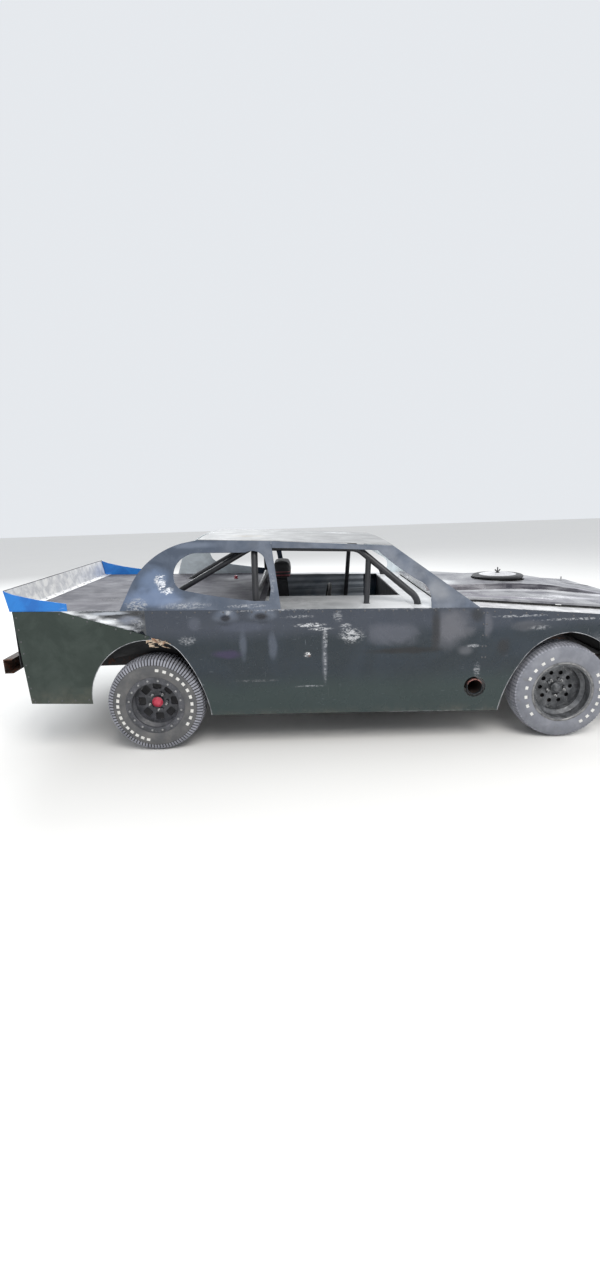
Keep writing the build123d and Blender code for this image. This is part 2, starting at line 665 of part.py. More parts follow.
def air_cleaner():
    """A round filter: base pan, pleated ring and a shallow lid with its wing nut."""
    profile = [
        (0, CARB_TOP), (70, CARB_TOP), (AIR_R - 6, CARB_TOP + 30), (AIR_R, CARB_TOP + 34),
        (AIR_R, CARB_TOP + 42), (AIR_R - 10, CARB_TOP + 46), (AIR_R - 10, CARB_TOP + 82),
        (AIR_R + 4, CARB_TOP + 86), (AIR_R + 4, CARB_TOP + 94), (AIR_R - 8, CARB_TOP + 100),
        (AIR_R - 78, CARB_TOP + 104), (AIR_R - 90, CARB_TOP + 108), (24, CARB_TOP + 110),
        (16, CARB_TOP + 128), (5, CARB_TOP + 130), (5, STUD_TOP), (0, STUD_TOP),
    ]
    face = make_face(Polyline(*[(r, 0, z) for r, z in profile], close=True))
    return revolve(face, axis=Axis.Z).moved(Location((AIR_X, 0, 0)))


def transmission():
    z = TRANSMISSION_Z
    bell = Plane(origin=(ENGINE_REAR, 0, z), z_dir=(-1, 0, 0)) * Circle(165)
    neck = Plane(origin=(ENGINE_REAR - 220, 0, z), z_dir=(-1, 0, 0)) * Circle(96)
    case = loft([bell, neck]) + rod((ENGINE_REAR - 218, 0, z), (SHAFT_FRONT_X + 2, 0, z - 20), 90)
    mount_x = ENGINE_REAR - 510
    case += box(mount_x - 30, mount_x + 30, -60, 60, 260, 350)
    reach = RAIL_Y - RAIL_HALF_WIDTH
    return case + box(mount_x - 40, mount_x + 40, -reach, reach, 262, 302)


def driveshaft():
    return rod((SHAFT_FRONT_X, 0, TRANSMISSION_Z - 20), (140, 0, TYRE_R + 8), 36)


def exhaust_pipes():
    """A side pipe from each bank of the engine out through the door sheet."""
    head_x = ENGINE_REAR + 100
    route = [(head_x, 280, 600), (head_x - 30, 410, 540), (EXHAUST_X + 80, RAIL_Y, 480)]
    route += [(EXHAUST_X, EXHAUST_TAIL_Y - 100, EXHAUST_Z), (EXHAUST_X, EXHAUST_TAIL_Y, EXHAUST_Z)]
    path = FilletPolyline(*route, radius=90)
    wall = Circle(EXHAUST_R) - Circle(EXHAUST_R - PIPE_WALL)
    start = Plane(origin=path @ 0, z_dir=path % 0)
    pipe = sweep(start * wall, path=path)
    outlet = cross_axis(EXHAUST_X, EXHAUST_Z, EXHAUST_TAIL_Y) * wall
    pipe += extrude(outlet, BODY_HALF + SHEET - EXHAUST_TAIL_Y)
    return both_sides(pipe)


# Axles and steering
def rear_axle():
    """The live axle: housing, tubes, drums and the springs' seats."""
    hub_end = WHEEL_Y + RIM_WIDTH / 2 - REAR_RIM_DISH - RIM_DISC - FIT
    tube = rod((0, -hub_end, TYRE_R), (0, hub_end, TYRE_R), AXLE_TUBE_R)
    drums = rod((0, hub_end - 70, TYRE_R), (0, hub_end, TYRE_R), 138)
    housing = Pos(0, 0, TYRE_R) * Rotation(90, 0, 0) * Cylinder(140, 150)
    nose = rod((0, 0, TYRE_R), (138, 0, TYRE_R + 8), 70)
    seats = both_sides(box(-60, 60, REAR_RAIL_Y - 20, REAR_RAIL_Y + 95, TYRE_R + 20, SPRING_SEAT_Z))
    return tube + both_sides(drums) + housing + nose + seats


def springs():
    """Coil springs as plain sleeves between the axles and the rails."""
    seat = Plane.XY.offset(SPRING_SEAT_Z)
    sleeve = extrude(seat * (Circle(50) - Circle(38)), REAR_RAIL_LOW - SPRING_SEAT_Z)
    return both_sides(sleeve.moved(Location((0, REAR_RAIL_Y + RAIL_HALF_WIDTH, 0))))


def knuckle(side):
    """The steered upright with its spindle, hub and brake disc."""
    y = KINGPIN_Y
    hub_end = WHEEL_Y + RIM_WIDTH / 2 - FRONT_RIM_DISH - RIM_DISC - FIT
    low, high = TYRE_R - KINGPIN_HALF, TYRE_R + KINGPIN_HALF
    body = rod((WHEELBASE, y, low), (WHEELBASE, y, high), KINGPIN_R)
    body += rod((WHEELBASE, y, TYRE_R), (WHEELBASE, hub_end, TYRE_R), HUB_R)
    disc_y = y + BRAKE_DISC_GAP
    body += rod((WHEELBASE, disc_y, TYRE_R), (WHEELBASE, disc_y + 20, TYRE_R), BRAKE_DISC_R)
    body += box(WHEELBASE - 110, WHEELBASE, y - 16, y + 16, TYRE_R - 50, TYRE_R - 26)
    return body if side > 0 else mirror(body, about=Plane.XZ)


def control_arms():
    """Upper and lower arms from the front rails to each kingpin's ball joints."""
    arms = Part()
    reach = KINGPIN_HALF + FIT
    inner = FRONT_RAIL_Y + RAIL_WIDTH
    for z in (TYRE_R + reach, TYRE_R - reach - ARM_THICK):
        rows = [(WHEELBASE - 130, inner), (WHEELBASE + 130, inner)]
        rows += [(WHEELBASE + ARM_NOSE_R, KINGPIN_Y), (WHEELBASE - ARM_NOSE_R, KINGPIN_Y)]
        face = make_face(Polyline(*[(x, y, z) for x, y in rows], close=True))
        arms += extrude(face, ARM_THICK, dir=(0, 0, 1))
        arms += rod((WHEELBASE, KINGPIN_Y, z), (WHEELBASE, KINGPIN_Y, z + ARM_THICK), ARM_NOSE_R)
    return both_sides(arms)


# Cockpit
SEAT_X = 800.0
SEAT_TOP_Z = 1010.0
HEADREST_TOP_Z = SEAT_TOP_Z + 140
COLUMN_R = 16.0
COLUMN_REAR = (SEAT_X + 500, SEAT_Y, 745.0)
COLUMN_FRONT = (DASH_X, SEAT_Y, 680.0)


def seat():
    """A formed racing seat: pan, back, side bolsters and a head support."""
    half = 192
    rows = [(SEAT_X + 10, 370), (SEAT_X + 480, 430), (SEAT_X + 478, 455), (SEAT_X + 60, 400)]
    rows += [(SEAT_X - 10, SEAT_TOP_Z), (SEAT_X - 34, SEAT_TOP_Z)]
    shell = upright(rows, SEAT_Y - half, 2 * half)
    side = [(SEAT_X - 34, SEAT_TOP_Z), (SEAT_X + 90, 990), (SEAT_X + 120, 620), (SEAT_X + 300, 540)]
    side += [(SEAT_X + 480, 520), (SEAT_X + 480, 430), (SEAT_X + 10, 370)]
    for y in (SEAT_Y - half - 12, SEAT_Y + half):
        shell += upright(side, y, 12)
    shell += box(SEAT_X + 20, SEAT_X + 440, SEAT_Y - 180, SEAT_Y - 150, MID_Z + SHEET, 385)
    shell += box(SEAT_X + 20, SEAT_X + 440, SEAT_Y + 150, SEAT_Y + 180, MID_Z + SHEET, 385)
    return shell


def headrest():
    return box(SEAT_X - 12, SEAT_X + 130, SEAT_Y - 190, SEAT_Y + 190, SEAT_TOP_Z + FIT, HEADREST_TOP_Z)


def column_axis():
    return (Vector(*COLUMN_REAR) - Vector(*COLUMN_FRONT)).normalized()


def steering_column():
    """The column from the dash bar back to the wheel, held by a bracket."""
    along = column_axis()
    end = Vector(*COLUMN_REAR) - along * FIT
    column = rod(COLUMN_FRONT, tuple(end), COLUMN_R)
    front, low, high = DASH_X + 4 * COLUMN_R, COLUMN_FRONT[2] - 4 * COLUMN_R, COLUMN_FRONT[2] + 4 * COLUMN_R
    return column - box(DASH_X, front, SEAT_Y - 2 * COLUMN_R, SEAT_Y + 2 * COLUMN_R, low, high)


def steering_wheel():
    """A three-spoke dished wheel on its quick-release hub."""
    axis = column_axis()
    centre = Vector(*COLUMN_REAR) + axis * 60
    plane = Plane(origin=centre, z_dir=axis)
    wheel = plane * Torus(STEERING_WHEEL_R, 14)
    wheel += rod(COLUMN_REAR, tuple(centre), 34)
    for spot in PolarLocations(STEERING_WHEEL_R / 2, 3):
        wheel += plane * spot * Box(STEERING_WHEEL_R - 8, 30, 6)
    return wheel


def fuel_cell():
    """The boxed fuel cell on a tray between the rear rails."""
    cell = box(-760, -330, -300, 300, 536, 850)
    tray = box(-790, -300, -REAR_RAIL_Y, REAR_RAIL_Y, 530, 536)
    return cell + tray


def radiator():
    rear, half = NOSE_X - 260, FRONT_RAIL_Y - 40
    core = box(rear, rear + 60, -half, half, FRONT_RAIL_TOP, 770)
    return core + box(rear - 10, rear + 70, -half - 80, half + 80, FRONT_RAIL_TOP, 436)


# Assembly
def cleared(sheet):
    """A sheet with running clearance cut round each cage tube that passes through it."""
    wide = TUBE_R + CAGE_GAP
    for tubes in (main_hoop, rear_braces, window_bars, a_bars, door_bars):
        for tube in tubes(wide).solids():
            sheet -= tube
    return sheet


def build():
    hoop = main_hoop()
    front_bars = a_bars() - hoop
    doors = door_bars() - hoop - front_bars
    pillars = window_bars() - front_bars - doors
    frame = frame_rails()
    braces = rear_braces() - hoop - frame
    engine = engine_block()
    dash = cleared(cowl_dash())
    exhaust = exhaust_pipes() - engine

    save(both_sides(side_sheet()), "side_sheets")
    save(both_sides(quarter_skin()), "quarter_skins")
    save(both_sides(quarter_sheet()), "quarter_sheets")
    save(both_sides(fender()), "fenders")
    save(both_sides(sail_panel()), "sail_panels")
    save(both_sides(pillar_panel()), "pillar_panels")
    save(both_sides(roof_band()), "roof_bands")
    save(roof_panel(), "roof_panel")
    save(cleared(rear_decks()), "rear_decks")
    save(cleared(interior_decks()), "interior_decks")
    save(dash, "cowl_dash")
    save(inner_skin(), "door_inner_skin")
    save(tail_panel(), "tail_panel")
    save(spoiler(), "spoiler")
    save(both_sides(spoiler_dam()), "spoiler_dams")
    save(fender_tops(), "fender_tops")
    save(hood(), "hood")
    save(hood_pins(), "hood_pins")
    save(nose_panel(), "nose_panel")
    save(frame, "frame_rails")
    save(floor_pan(), "floor_pan")
    save(cleared(firewalls()), "firewalls")
    save(cleared(tub_side()), "tub_side")
    save(front_bumper(), "front_bumper")
    save(rear_bumper(), "rear_bumper")
    save(hoop, "cage_main_hoop")
    save(front_bars, "cage_front_bars")
    save(pillars, "cage_window_bars")
    save(braces, "cage_rear_braces")
    save(doors, "cage_door_bars")
    save(engine, "engine_block")
    save(air_cleaner(), "air_cleaner")
    save(transmission(), "transmission")
    save(driveshaft(), "driveshaft")
    save(exhaust, "exhaust_pipes")
    save(rear_axle(), "rear_axle")
    save(springs(), "rear_springs")
    save(control_arms(), "control_arms")
    save(seat(), "seat")
    save(headrest(), "headrest")
    save(steering_column() - dash, "steering_column")
    save(steering_wheel(), "steering_wheel")
    save(fuel_cell(), "fuel_cell")
    save(radiator(), "radiator")
    for name, side in (("left", 1), ("right", -1)):
        save(knuckle(side), f"knuckle_{name}")
        save(front_rim(side), f"rim_front_{name}")
        save(tyre(WHEELBASE, side), f"tyre_front_{name}")
        save(rear_rim(side), f"rim_rear_{name}")
        save(tyre(0.0, side), f"tyre_rear_{name}")


build()
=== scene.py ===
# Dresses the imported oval-track coupe: tyres, rims, worn sheet metal, floor, lights and camera.
import math
import random

import bmesh
import bpy
from mathutils import Matrix, Vector, noise


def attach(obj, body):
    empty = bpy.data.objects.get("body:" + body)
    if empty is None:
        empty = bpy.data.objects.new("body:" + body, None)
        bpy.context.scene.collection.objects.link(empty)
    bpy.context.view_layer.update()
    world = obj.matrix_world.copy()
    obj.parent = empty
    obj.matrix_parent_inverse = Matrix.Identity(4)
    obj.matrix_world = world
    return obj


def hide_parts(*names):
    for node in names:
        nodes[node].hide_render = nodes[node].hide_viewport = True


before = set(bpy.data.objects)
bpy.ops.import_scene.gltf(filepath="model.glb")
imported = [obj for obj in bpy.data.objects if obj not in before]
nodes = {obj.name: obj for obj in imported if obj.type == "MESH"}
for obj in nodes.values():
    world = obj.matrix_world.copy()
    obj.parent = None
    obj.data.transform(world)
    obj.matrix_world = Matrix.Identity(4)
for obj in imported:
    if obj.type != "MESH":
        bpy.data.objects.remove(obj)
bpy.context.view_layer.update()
print("frame loaded")

# Places are given in millimetres from the rear axle, like the CAD source
car = {
    "midX": 1300, "wheelbase": 2745, "tyreRadius": 330, "wheelY": 847.5, "bodyHalf": 950,
    "sillLine": 979, "sillRake": 0.024, "seamX": 2200, "noseX": 3560, "noseTop": 800,
}
up = Vector((0, 0, 1))


def at(x, y, z):
    return Vector(((x - car["midX"]) / 1000, y / 1000, z / 1000))


def sillZ(x):
    return car["sillLine"] - car["sillRake"] * x


def onLine(rows, x):
    # The second value at x on the line through rows of two values
    for (x0, y0), (x1, y1) in zip(rows, rows[1:]):
        if x0 <= x <= x1:
            return y0 + (y1 - y0) * (x - x0) / (x1 - x0)
    return rows[-1][1]


def topLineZ(x):
    if x <= car["seamX"]:
        return sillZ(x)
    return onLine([(car["seamX"], sillZ(car["seamX"])), (car["noseX"], car["noseTop"])], x)


def blendShare(low, high, value):
    share = min(max((value - low) / (high - low), 0), 1)
    return share * share * (3 - 2 * share)


# Mesh helpers
def linked(name, data):
    thing = bpy.data.objects.new(name, data)
    bpy.context.scene.collection.objects.link(thing)
    return thing


def meshFrom(name, build):
    form = bmesh.new()
    build(form)
    bmesh.ops.recalc_face_normals(form, faces=form.faces)
    mesh = bpy.data.meshes.new(name)
    form.to_mesh(mesh)
    form.free()
    return mesh


def addPiece(name, mesh, paint, body, replaced=(), sharp=40):
    piece = linked(name, mesh)
    mesh.materials.append(paints[paint])
    for face in mesh.polygons:
        face.use_smooth = True
    mesh.set_sharp_from_angle(angle=math.radians(sharp))
    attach(piece, body)
    if replaced:
        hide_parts(*replaced)
    return piece


def makePiece(name, build, look, paint, body="chassis", replaced=(), sharp=40):
    mesh = meshFrom(name, lambda form: build(form, look))
    return addPiece(name, mesh, paint, body, replaced, sharp)


def bothSides(build):
    def form(mesh, look):
        for side in (-1, 1):
            build(mesh, side, look)
    return form


def circle(steps):
    return [(math.cos(2 * math.pi * i / steps), math.sin(2 * math.pi * i / steps)) for i in range(steps)]


def stitch(form, rings, loop=False):
    # Joins rings of points; loop joins the last to the first, else both ends are closed
    rings = [[form.verts.new(point) for point in ring] for ring in rings]
    faces = []
    for here, there in zip(rings, rings[1:] + rings[:1] if loop else rings[1:]):
        for i in range(len(here)):
            j = (i + 1) % len(here)
            faces.append(form.faces.new((here[i], here[j], there[j], there[i])))
    if not loop:
        form.faces.new(rings[-1])
        form.faces.new(list(reversed(rings[0])))
    return faces


def roundAxle(wheel, turn, radius, out):
    # A point at an angle round the axle, a radius and a distance out along it
    place = Vector((radius * math.cos(turn), wheel["side"] * out, radius * math.sin(turn)))
    return wheel["centre"] + place / 1000


def spinRing(form, profile, wheel, steps):
    # Rows of (distance out along the axle, radius) turned round the axle
    turns = [2 * math.pi * i / steps for i in range(steps)]
    stitch(form, [[roundAxle(wheel, turn, radius, out) for out, radius in profile] for turn in turns], True)


def turned(form, profile, x, steps):
    # A profile of (radius, z) turned about the upright axis at x
    stitch(form, [[at(x + r * c, r * s, z) for r, z in profile] for c, s in circle(steps)], True)


def roundHead(form, centre, axis, radius, height, steps=10, dome=0.5):
    # A bolt or rivet head: a short drum with a domed top along the axis
    turn, rings = axis.to_track_quat("Z", "Y").to_matrix(), []
    for share, lift in ((1, 0), (1, 1 - dome), (0.72, 1 - dome * 0.3), (0.3, 1)):
        reach = radius * share
        rings.append([centre + turn @ Vector((c * reach, s * reach, height * lift)) for c, s in circle(steps)])
    stitch(form, rings)


def tubeAlong(form, points, radius, steps=8):
    # A round wire through the points, closed at both ends
    rings = []
    for i, point in enumerate(points):
        ahead = points[min(i + 1, len(points) - 1)] - points[max(i - 1, 0)]
        turn = ahead.to_track_quat("Z", "Y").to_matrix()
        rings.append([point + turn @ Vector((c * radius, s * radius, 0)) for c, s in circle(steps)])
    stitch(form, rings)


def foldedSheet(form, look, place):
    # A thin sheet on a grid; place gives a point from the column's x, the row's share and the depth
    columns, rows = look["columns"], look["rows"]
    xs = [look["rear"] + (look["front"] - look["rear"]) * i / columns for i in range(columns + 1)]
    outer, inner = (
        [[form.verts.new(place(x, j / rows, lift)) for j in range(rows + 1)] for x in xs]
        for lift in (0, look["thick"])
    )
    for i in range(columns):
        for j in range(rows):
            form.faces.new((outer[i][j], outer[i + 1][j], outer[i + 1][j + 1], outer[i][j + 1]))
            form.faces.new((inner[i][j], inner[i][j + 1], inner[i + 1][j + 1], inner[i + 1][j]))
        for j in (0, rows):
            form.faces.new((outer[i][j], inner[i][j], inner[i + 1][j], outer[i + 1][j]))
    for j in range(rows):
        for i in (0, columns):
            form.faces.new((outer[i][j], outer[i][j + 1], inner[i][j + 1], inner[i][j]))


def bakeModifiers(piece):
    # Replaces the piece's mesh by what its modifiers give, and drops them
    bpy.context.view_layer.update()
    shown = piece.evaluated_get(bpy.context.evaluated_depsgraph_get())
    fixed = bpy.data.meshes.new_from_object(shown)
    piece.modifiers.clear()
    piece.data = fixed
    return fixed


# Material helpers
class Finish:
    # Builds one material from noise, spots and streaks in object coordinates
    def __init__(self, name, rough, metal=0.0, specular=0.5, sheen=0.0):
        self.material = bpy.data.materials.new(name)
        self.material.use_nodes = True
        self.tree = self.material.node_tree
        self.shader = self.tree.nodes["Principled BSDF"]
        inputs = ("Roughness", "Metallic", "Specular IOR Level", "Sheen Weight")
        for socket, value in zip(inputs, (rough, metal, specular, sheen)):
            self.shader.inputs[socket].default_value = value
        self.place = self.tree.nodes.new("ShaderNodeTexCoord").outputs["Object"]

    def link(self, source, target):
        self.tree.links.new(source, target)

    def put(self, value, socket):
        # A number or a colour is typed in, anything else is a socket to link
        if isinstance(value, (int, float)):
            socket.default_value = value
        elif isinstance(value, tuple):
            socket.default_value = (*value, 1)
        else:
            self.link(value, socket)

    def node(self, kind, **values):
        node = self.tree.nodes.new("ShaderNode" + kind)
        for name, value in values.items():
            node.inputs[name.replace("_", " ")].default_value = value
        return node

    def maths(self, operation, first, second=0.0, clamp=False):
        node = self.node("Math")
        node.operation = operation
        node.use_clamp = clamp
        self.put(first, node.inputs[0])
        self.put(second, node.inputs[1])
        return node.outputs[0]

    def times(self, first, second):
        return self.maths("MULTIPLY", first, second)

    def between(self, value, low, high, out=(0.0, 1.0)):
        node = self.node("MapRange", From_Min=low, From_Max=high, To_Min=out[0], To_Max=out[1])
        node.interpolation_type = "SMOOTHSTEP"
        self.link(value, node.inputs["Value"])
        return node.outputs["Result"]

    def grain(self, size, detail=4.0, rough=0.6, stretch=None, warp=0.0):
        # size is the feature size in metres
        node = self.node("TexNoise", Scale=1 / size, Detail=detail, Roughness=rough, Distortion=warp)
        place = self.place
        if stretch:
            mapping = self.node("Mapping", Scale=stretch)
            self.link(place, mapping.inputs["Vector"])
            place = mapping.outputs["Vector"]
        self.link(place, node.inputs["Vector"])
        return node.outputs["Fac"]

    def along(self, axis, source=None):
        node = self.node("SeparateXYZ")
        self.link(self.place if source is None else source, node.inputs[0])
        return node.outputs[axis]

    def inward(self):
        # 1 on the faces that look towards the car's middle
        facing = self.node("TexCoord").outputs["Normal"]
        return self.maths("LESS_THAN", self.times(self.along("Y"), self.along("Y", facing)), -0.02)

    def spot(self, centre, radii, soft=0.6, ragged=None, share=1.6):
        # 1 inside an ellipsoid about a point given in millimetres from the rear axle
        scale = [1000 / r for r in radii]
        shift = self.node("Mapping", Scale=scale, Location=[-m * s for m, s in zip(at(*centre), scale)])
        self.link(self.place, shift.inputs["Vector"])
        length = self.node("VectorMath")
        length.operation = "LENGTH"
        self.link(shift.outputs["Vector"], length.inputs[0])
        distance = length.outputs["Value"]
        if ragged is not None:
            distance = self.maths("ADD", distance, self.times(self.maths("SUBTRACT", ragged, 0.5), share))
        return self.between(distance, 1.0 - soft, 1.0, (1.0, 0.0))

    def height(self, low, high, axis="Z"):
        shift = car["midX"] / 1000 if axis == "X" else 0
        return self.between(self.along(axis), low / 1000 - shift, high / 1000 - shift)

    def blend(self, share, first, second):
        node = self.node("Mix")
        node.data_type = "RGBA"
        for socket, value in zip([s for s in node.inputs if s.type == "RGBA"], (first, second)):
            self.put(value, socket)
        self.put(share, node.inputs[0])
        return [s for s in node.outputs if s.type == "RGBA"][0]

    def over(self, colour, tint, share, strength, clamp=False):
        # The tint laid over the colour, as strong as the share times the strength
        return self.blend(self.maths("MULTIPLY", share, strength, clamp), colour, tint)

    def twoTone(self, look, size):
        return self.blend(self.between(self.grain(size, 6), 0.35, 0.7), look["base"], look["tone"])

    def set(self, name, value):
        self.put(value, self.shader.inputs[name])

    def bump(self, value, strength, distance=0.001):
        node = self.node("Bump", Strength=strength, Distance=distance)
        self.link(value, node.inputs["Height"])
        before = self.shader.inputs["Normal"]
        if before.is_linked:
            self.link(before.links[0].from_socket, node.inputs["Normal"])
        self.link(node.outputs["Normal"], before)


# Tints and the ways scratches run, then what a look has unless it says otherwise
white = (0.55, 0.56, 0.58)
silver = (0.32, 0.33, 0.35)
ash = (0.13, 0.135, 0.145)
dustTan = (0.16, 0.135, 0.10)
rustRed = (0.19, 0.055, 0.025)
chalk = (0.75, 0.77, 0.8)
# Painted reflections on the glossy black side sheets: the pale rim and the dark middle of a dent's reflection, and
# pale upright streaks
dentReflectionPale = (0.11, 0.13, 0.17)
streakReflectionPale = (0.075, 0.09, 0.12)
dentReflectionDark = (0.01, 0.012, 0.02)
lengthwise = [(0.12, 1, 1)]
lengthUp = [(0.12, 1, 1), (1, 1, 0.10)]
lengthAcross = [(1, 0.14, 1), (0.14, 1, 1)]
usualWear = {
    "metal": 0.0, "specular": 0.5, "speckle": 0.3, "torn": (0.45, 1, 1), "scratches": 0.4,
    "scratchAlong": lengthwise, "dents": 0.4, "dentSize": 0.2, "dentDepth": 0.006,
    "bands": [], "glows": [], "scuffs": [], "hollows": [],
}
usualRust = {"metal": 0.3, "fleck": ash, "rust": (0.14, 0.045, 0.018), "rustDark": (0.045, 0.018, 0.010)}
usualGrime = {"metal": 0.0, "toneSize": 0.05, "grime": ash, "grimeSize": 0.025, "grimeShare": 0.4, "grain": 0.2}


def wornPaint(name, look):
    # Painted sheet: two tones, fine speckle, scuffs, scratches, dust and shallow dents, with painted reflections,
    # highlights and shade where a look lists them
    look = {**usualWear, **look}
    paint = Finish(name, look["rough"], look["metal"], look["specular"])
    tone = paint.between(paint.grain(look["toneSize"], warp=0.6), 0.38, 0.66)
    colour = paint.blend(tone, look["base"], look["tone"])
    speckle = paint.between(paint.grain(0.006, 6), 0.62, 0.74)
    colour = paint.over(colour, look["scratch"], speckle, look["speckle"])
    ragged = paint.grain(0.030, 7, 0.8, warp=1.2)
    soft = paint.grain(0.11, 3, 0.5, warp=0.5)
    torn = paint.between(paint.grain(0.011, 6, 0.75, look["torn"], 0.8), 0.47, 0.56, (0.0, 1.3))
    # Wavy bands along the height: painted reflections of the ground and the sky
    for low, high, tint, strength in look["bands"]:
        wavy = paint.maths("ADD", paint.along("Z"), paint.times(paint.grain(0.5, 2), 0.10))
        share = paint.between(wavy, low / 1000 + 0.05, high / 1000 + 0.05)
        colour = paint.over(colour, tint, share, strength)
    # Soft spots of painted reflection, highlight and shade
    for centre, radii, tint, strength in look["glows"]:
        colour = paint.over(colour, tint, paint.spot(centre, radii, 0.7, soft, 0.8), strength)
    for centre, radii, tint, strength in look["scuffs"]:
        share = paint.times(paint.spot(centre, radii, 0.7, ragged), torn)
        colour = paint.over(colour, tint, share, strength, True)
    wide = paint.between(paint.grain(0.22, 2), 0.42, 0.7)
    bare = None
    for stretch in look["scratchAlong"]:
        streak = paint.times(paint.between(paint.grain(0.008, 3, 0.5, stretch), 0.69, 0.74), wide)
        colour = paint.over(colour, look["scratch"], streak, look["scratches"])
        bare = streak if bare is None else paint.maths("MAXIMUM", bare, streak)
    if "dust" in look:
        tint, low, high, strength = look["dust"]
        film = paint.times(paint.height(high, low), paint.between(paint.grain(0.09, 5), 0.3, 0.75))
        colour = paint.over(colour, tint, film, strength)
    if "fade" in look:
        axis, low, high, tint, strength = look["fade"]
        colour = paint.over(colour, tint, paint.height(low, high, axis), strength)
    # Along the hood's raised centre: painted shade on its steep sides and a painted highlight on the flat beside them
    if "flanks" in look:
        flank = look["flanks"]
        away = paint.maths("ABSOLUTE", paint.along("Y"))
        inner, outer, ridgeEnd = flank["inner"] / 1000, flank["outer"] / 1000, flank["ridge"] / 1000
        leaves = paint.between(away, outer - 0.008, outer + 0.004, (1.0, 0.0))
        shade = paint.times(paint.between(away, inner, inner + 0.008), leaves)
        streaky = paint.between(paint.grain(0.03, 4, 0.6, (0.12, 1, 1)), 0.3, 0.6, (0.55, 1.0))
        colour = paint.over(colour, flank["dark"], shade, streaky)
        fades = paint.between(away, ridgeEnd - 0.04, ridgeEnd + 0.02, (1.0, 0.0))
        ridge = paint.times(paint.between(away, outer, outer + 0.012), fades)
        colour = paint.over(colour, flank["pale"], ridge, streaky)
    # Inward faces get a pale colour, partly the bare inner side of the sheet and partly a painted sky reflection; the
    # posts from x 560 to 1400 mm keep the outer colour
    if "inner" in look:
        darkPost = paint.times(paint.height(560, 600, "X"), paint.height(1400, 1360, "X"))
        pale = paint.blend(tone, look["inner"], tuple(c * 1.25 for c in look["inner"]))
        share = paint.times(paint.inward(), paint.maths("SUBTRACT", 1.0, darkPost))
        colour = paint.blend(share, colour, pale)
    paint.set("Base Color", colour)
    patch = paint.between(paint.grain(0.12, 5), 0.3, 0.7, (look["rough"], look["roughHigh"]))
    paint.set("Roughness", paint.maths("ADD", patch, paint.times(bare, 0.25), True))
    paint.bump(paint.grain(look["dentSize"], 2, 0.5), look["dents"], look["dentDepth"])
    for centre, radii, deep in look["hollows"]:
        paint.bump(paint.spot(centre, radii, 0.95), deep, 0.03)
    if "ribs" in look:
        rib = paint.maths("SINE", paint.times(paint.along("Z"), 2 * math.pi / look["ribs"]))
        paint.bump(rib, 0.6, 0.006)
    paint.bump(paint.grain(0.0025, 3), 0.08, 0.0005)
    return paint.material


def rustySteel(name, look):
    # Bare or painted steel with rust blooms and pitting
    look = {**usualRust, **look}
    steel = Finish(name, look["rough"], look["metal"])
    bloom = steel.between(steel.grain(0.06, 8, 0.7, warp=1.0), look["bloomFrom"], look["bloomFrom"] + 0.16)
    tone = steel.blend(steel.between(steel.grain(0.02, 6), 0.3, 0.7), look["rust"], look["rustDark"])
    fleck = steel.between(steel.grain(0.004, 5), 0.6, 0.75)
    steel.set("Base Color", steel.over(steel.blend(bloom, look["base"], tone), look["fleck"], fleck, 0.35))
    steel.set("Roughness", steel.between(bloom, 0.0, 1.0, (look["rough"], 0.88)))
    steel.set("Metallic", steel.between(bloom, 0.0, 1.0, (look["metal"], 0.0)))
    steel.bump(steel.times(bloom, steel.grain(0.003, 6, 0.7)), 0.6, 0.0016)
    return steel.material


def plainFinish(name, look):
    # Plastic, rubber or powder coat with grain and grime
    look = {**usualGrime, **look}
    skin = Finish(name, look["rough"], look["metal"])
    colour = skin.twoTone(look, look["toneSize"])
    grime = skin.between(skin.grain(look["grimeSize"], 7, 0.7, warp=0.8), 0.56, 0.72)
    skin.set("Base Color", skin.over(colour, look["grime"], grime, look["grimeShare"]))
    skin.set("Roughness", skin.between(skin.grain(0.04, 4), 0.3, 0.7, (look["rough"], look["rough"] + 0.2)))
    skin.bump(skin.grain(0.0012, 4), look["grain"], 0.0006)
    return skin.material


def onSide(*rows):
    # Spots on the right-hand sheets from rows of (x, z, half width, half height, tint, strength)
    return [((x, -950, z), (wide, 60, tall), tint, strength) for x, z, wide, tall, tint, strength in rows]


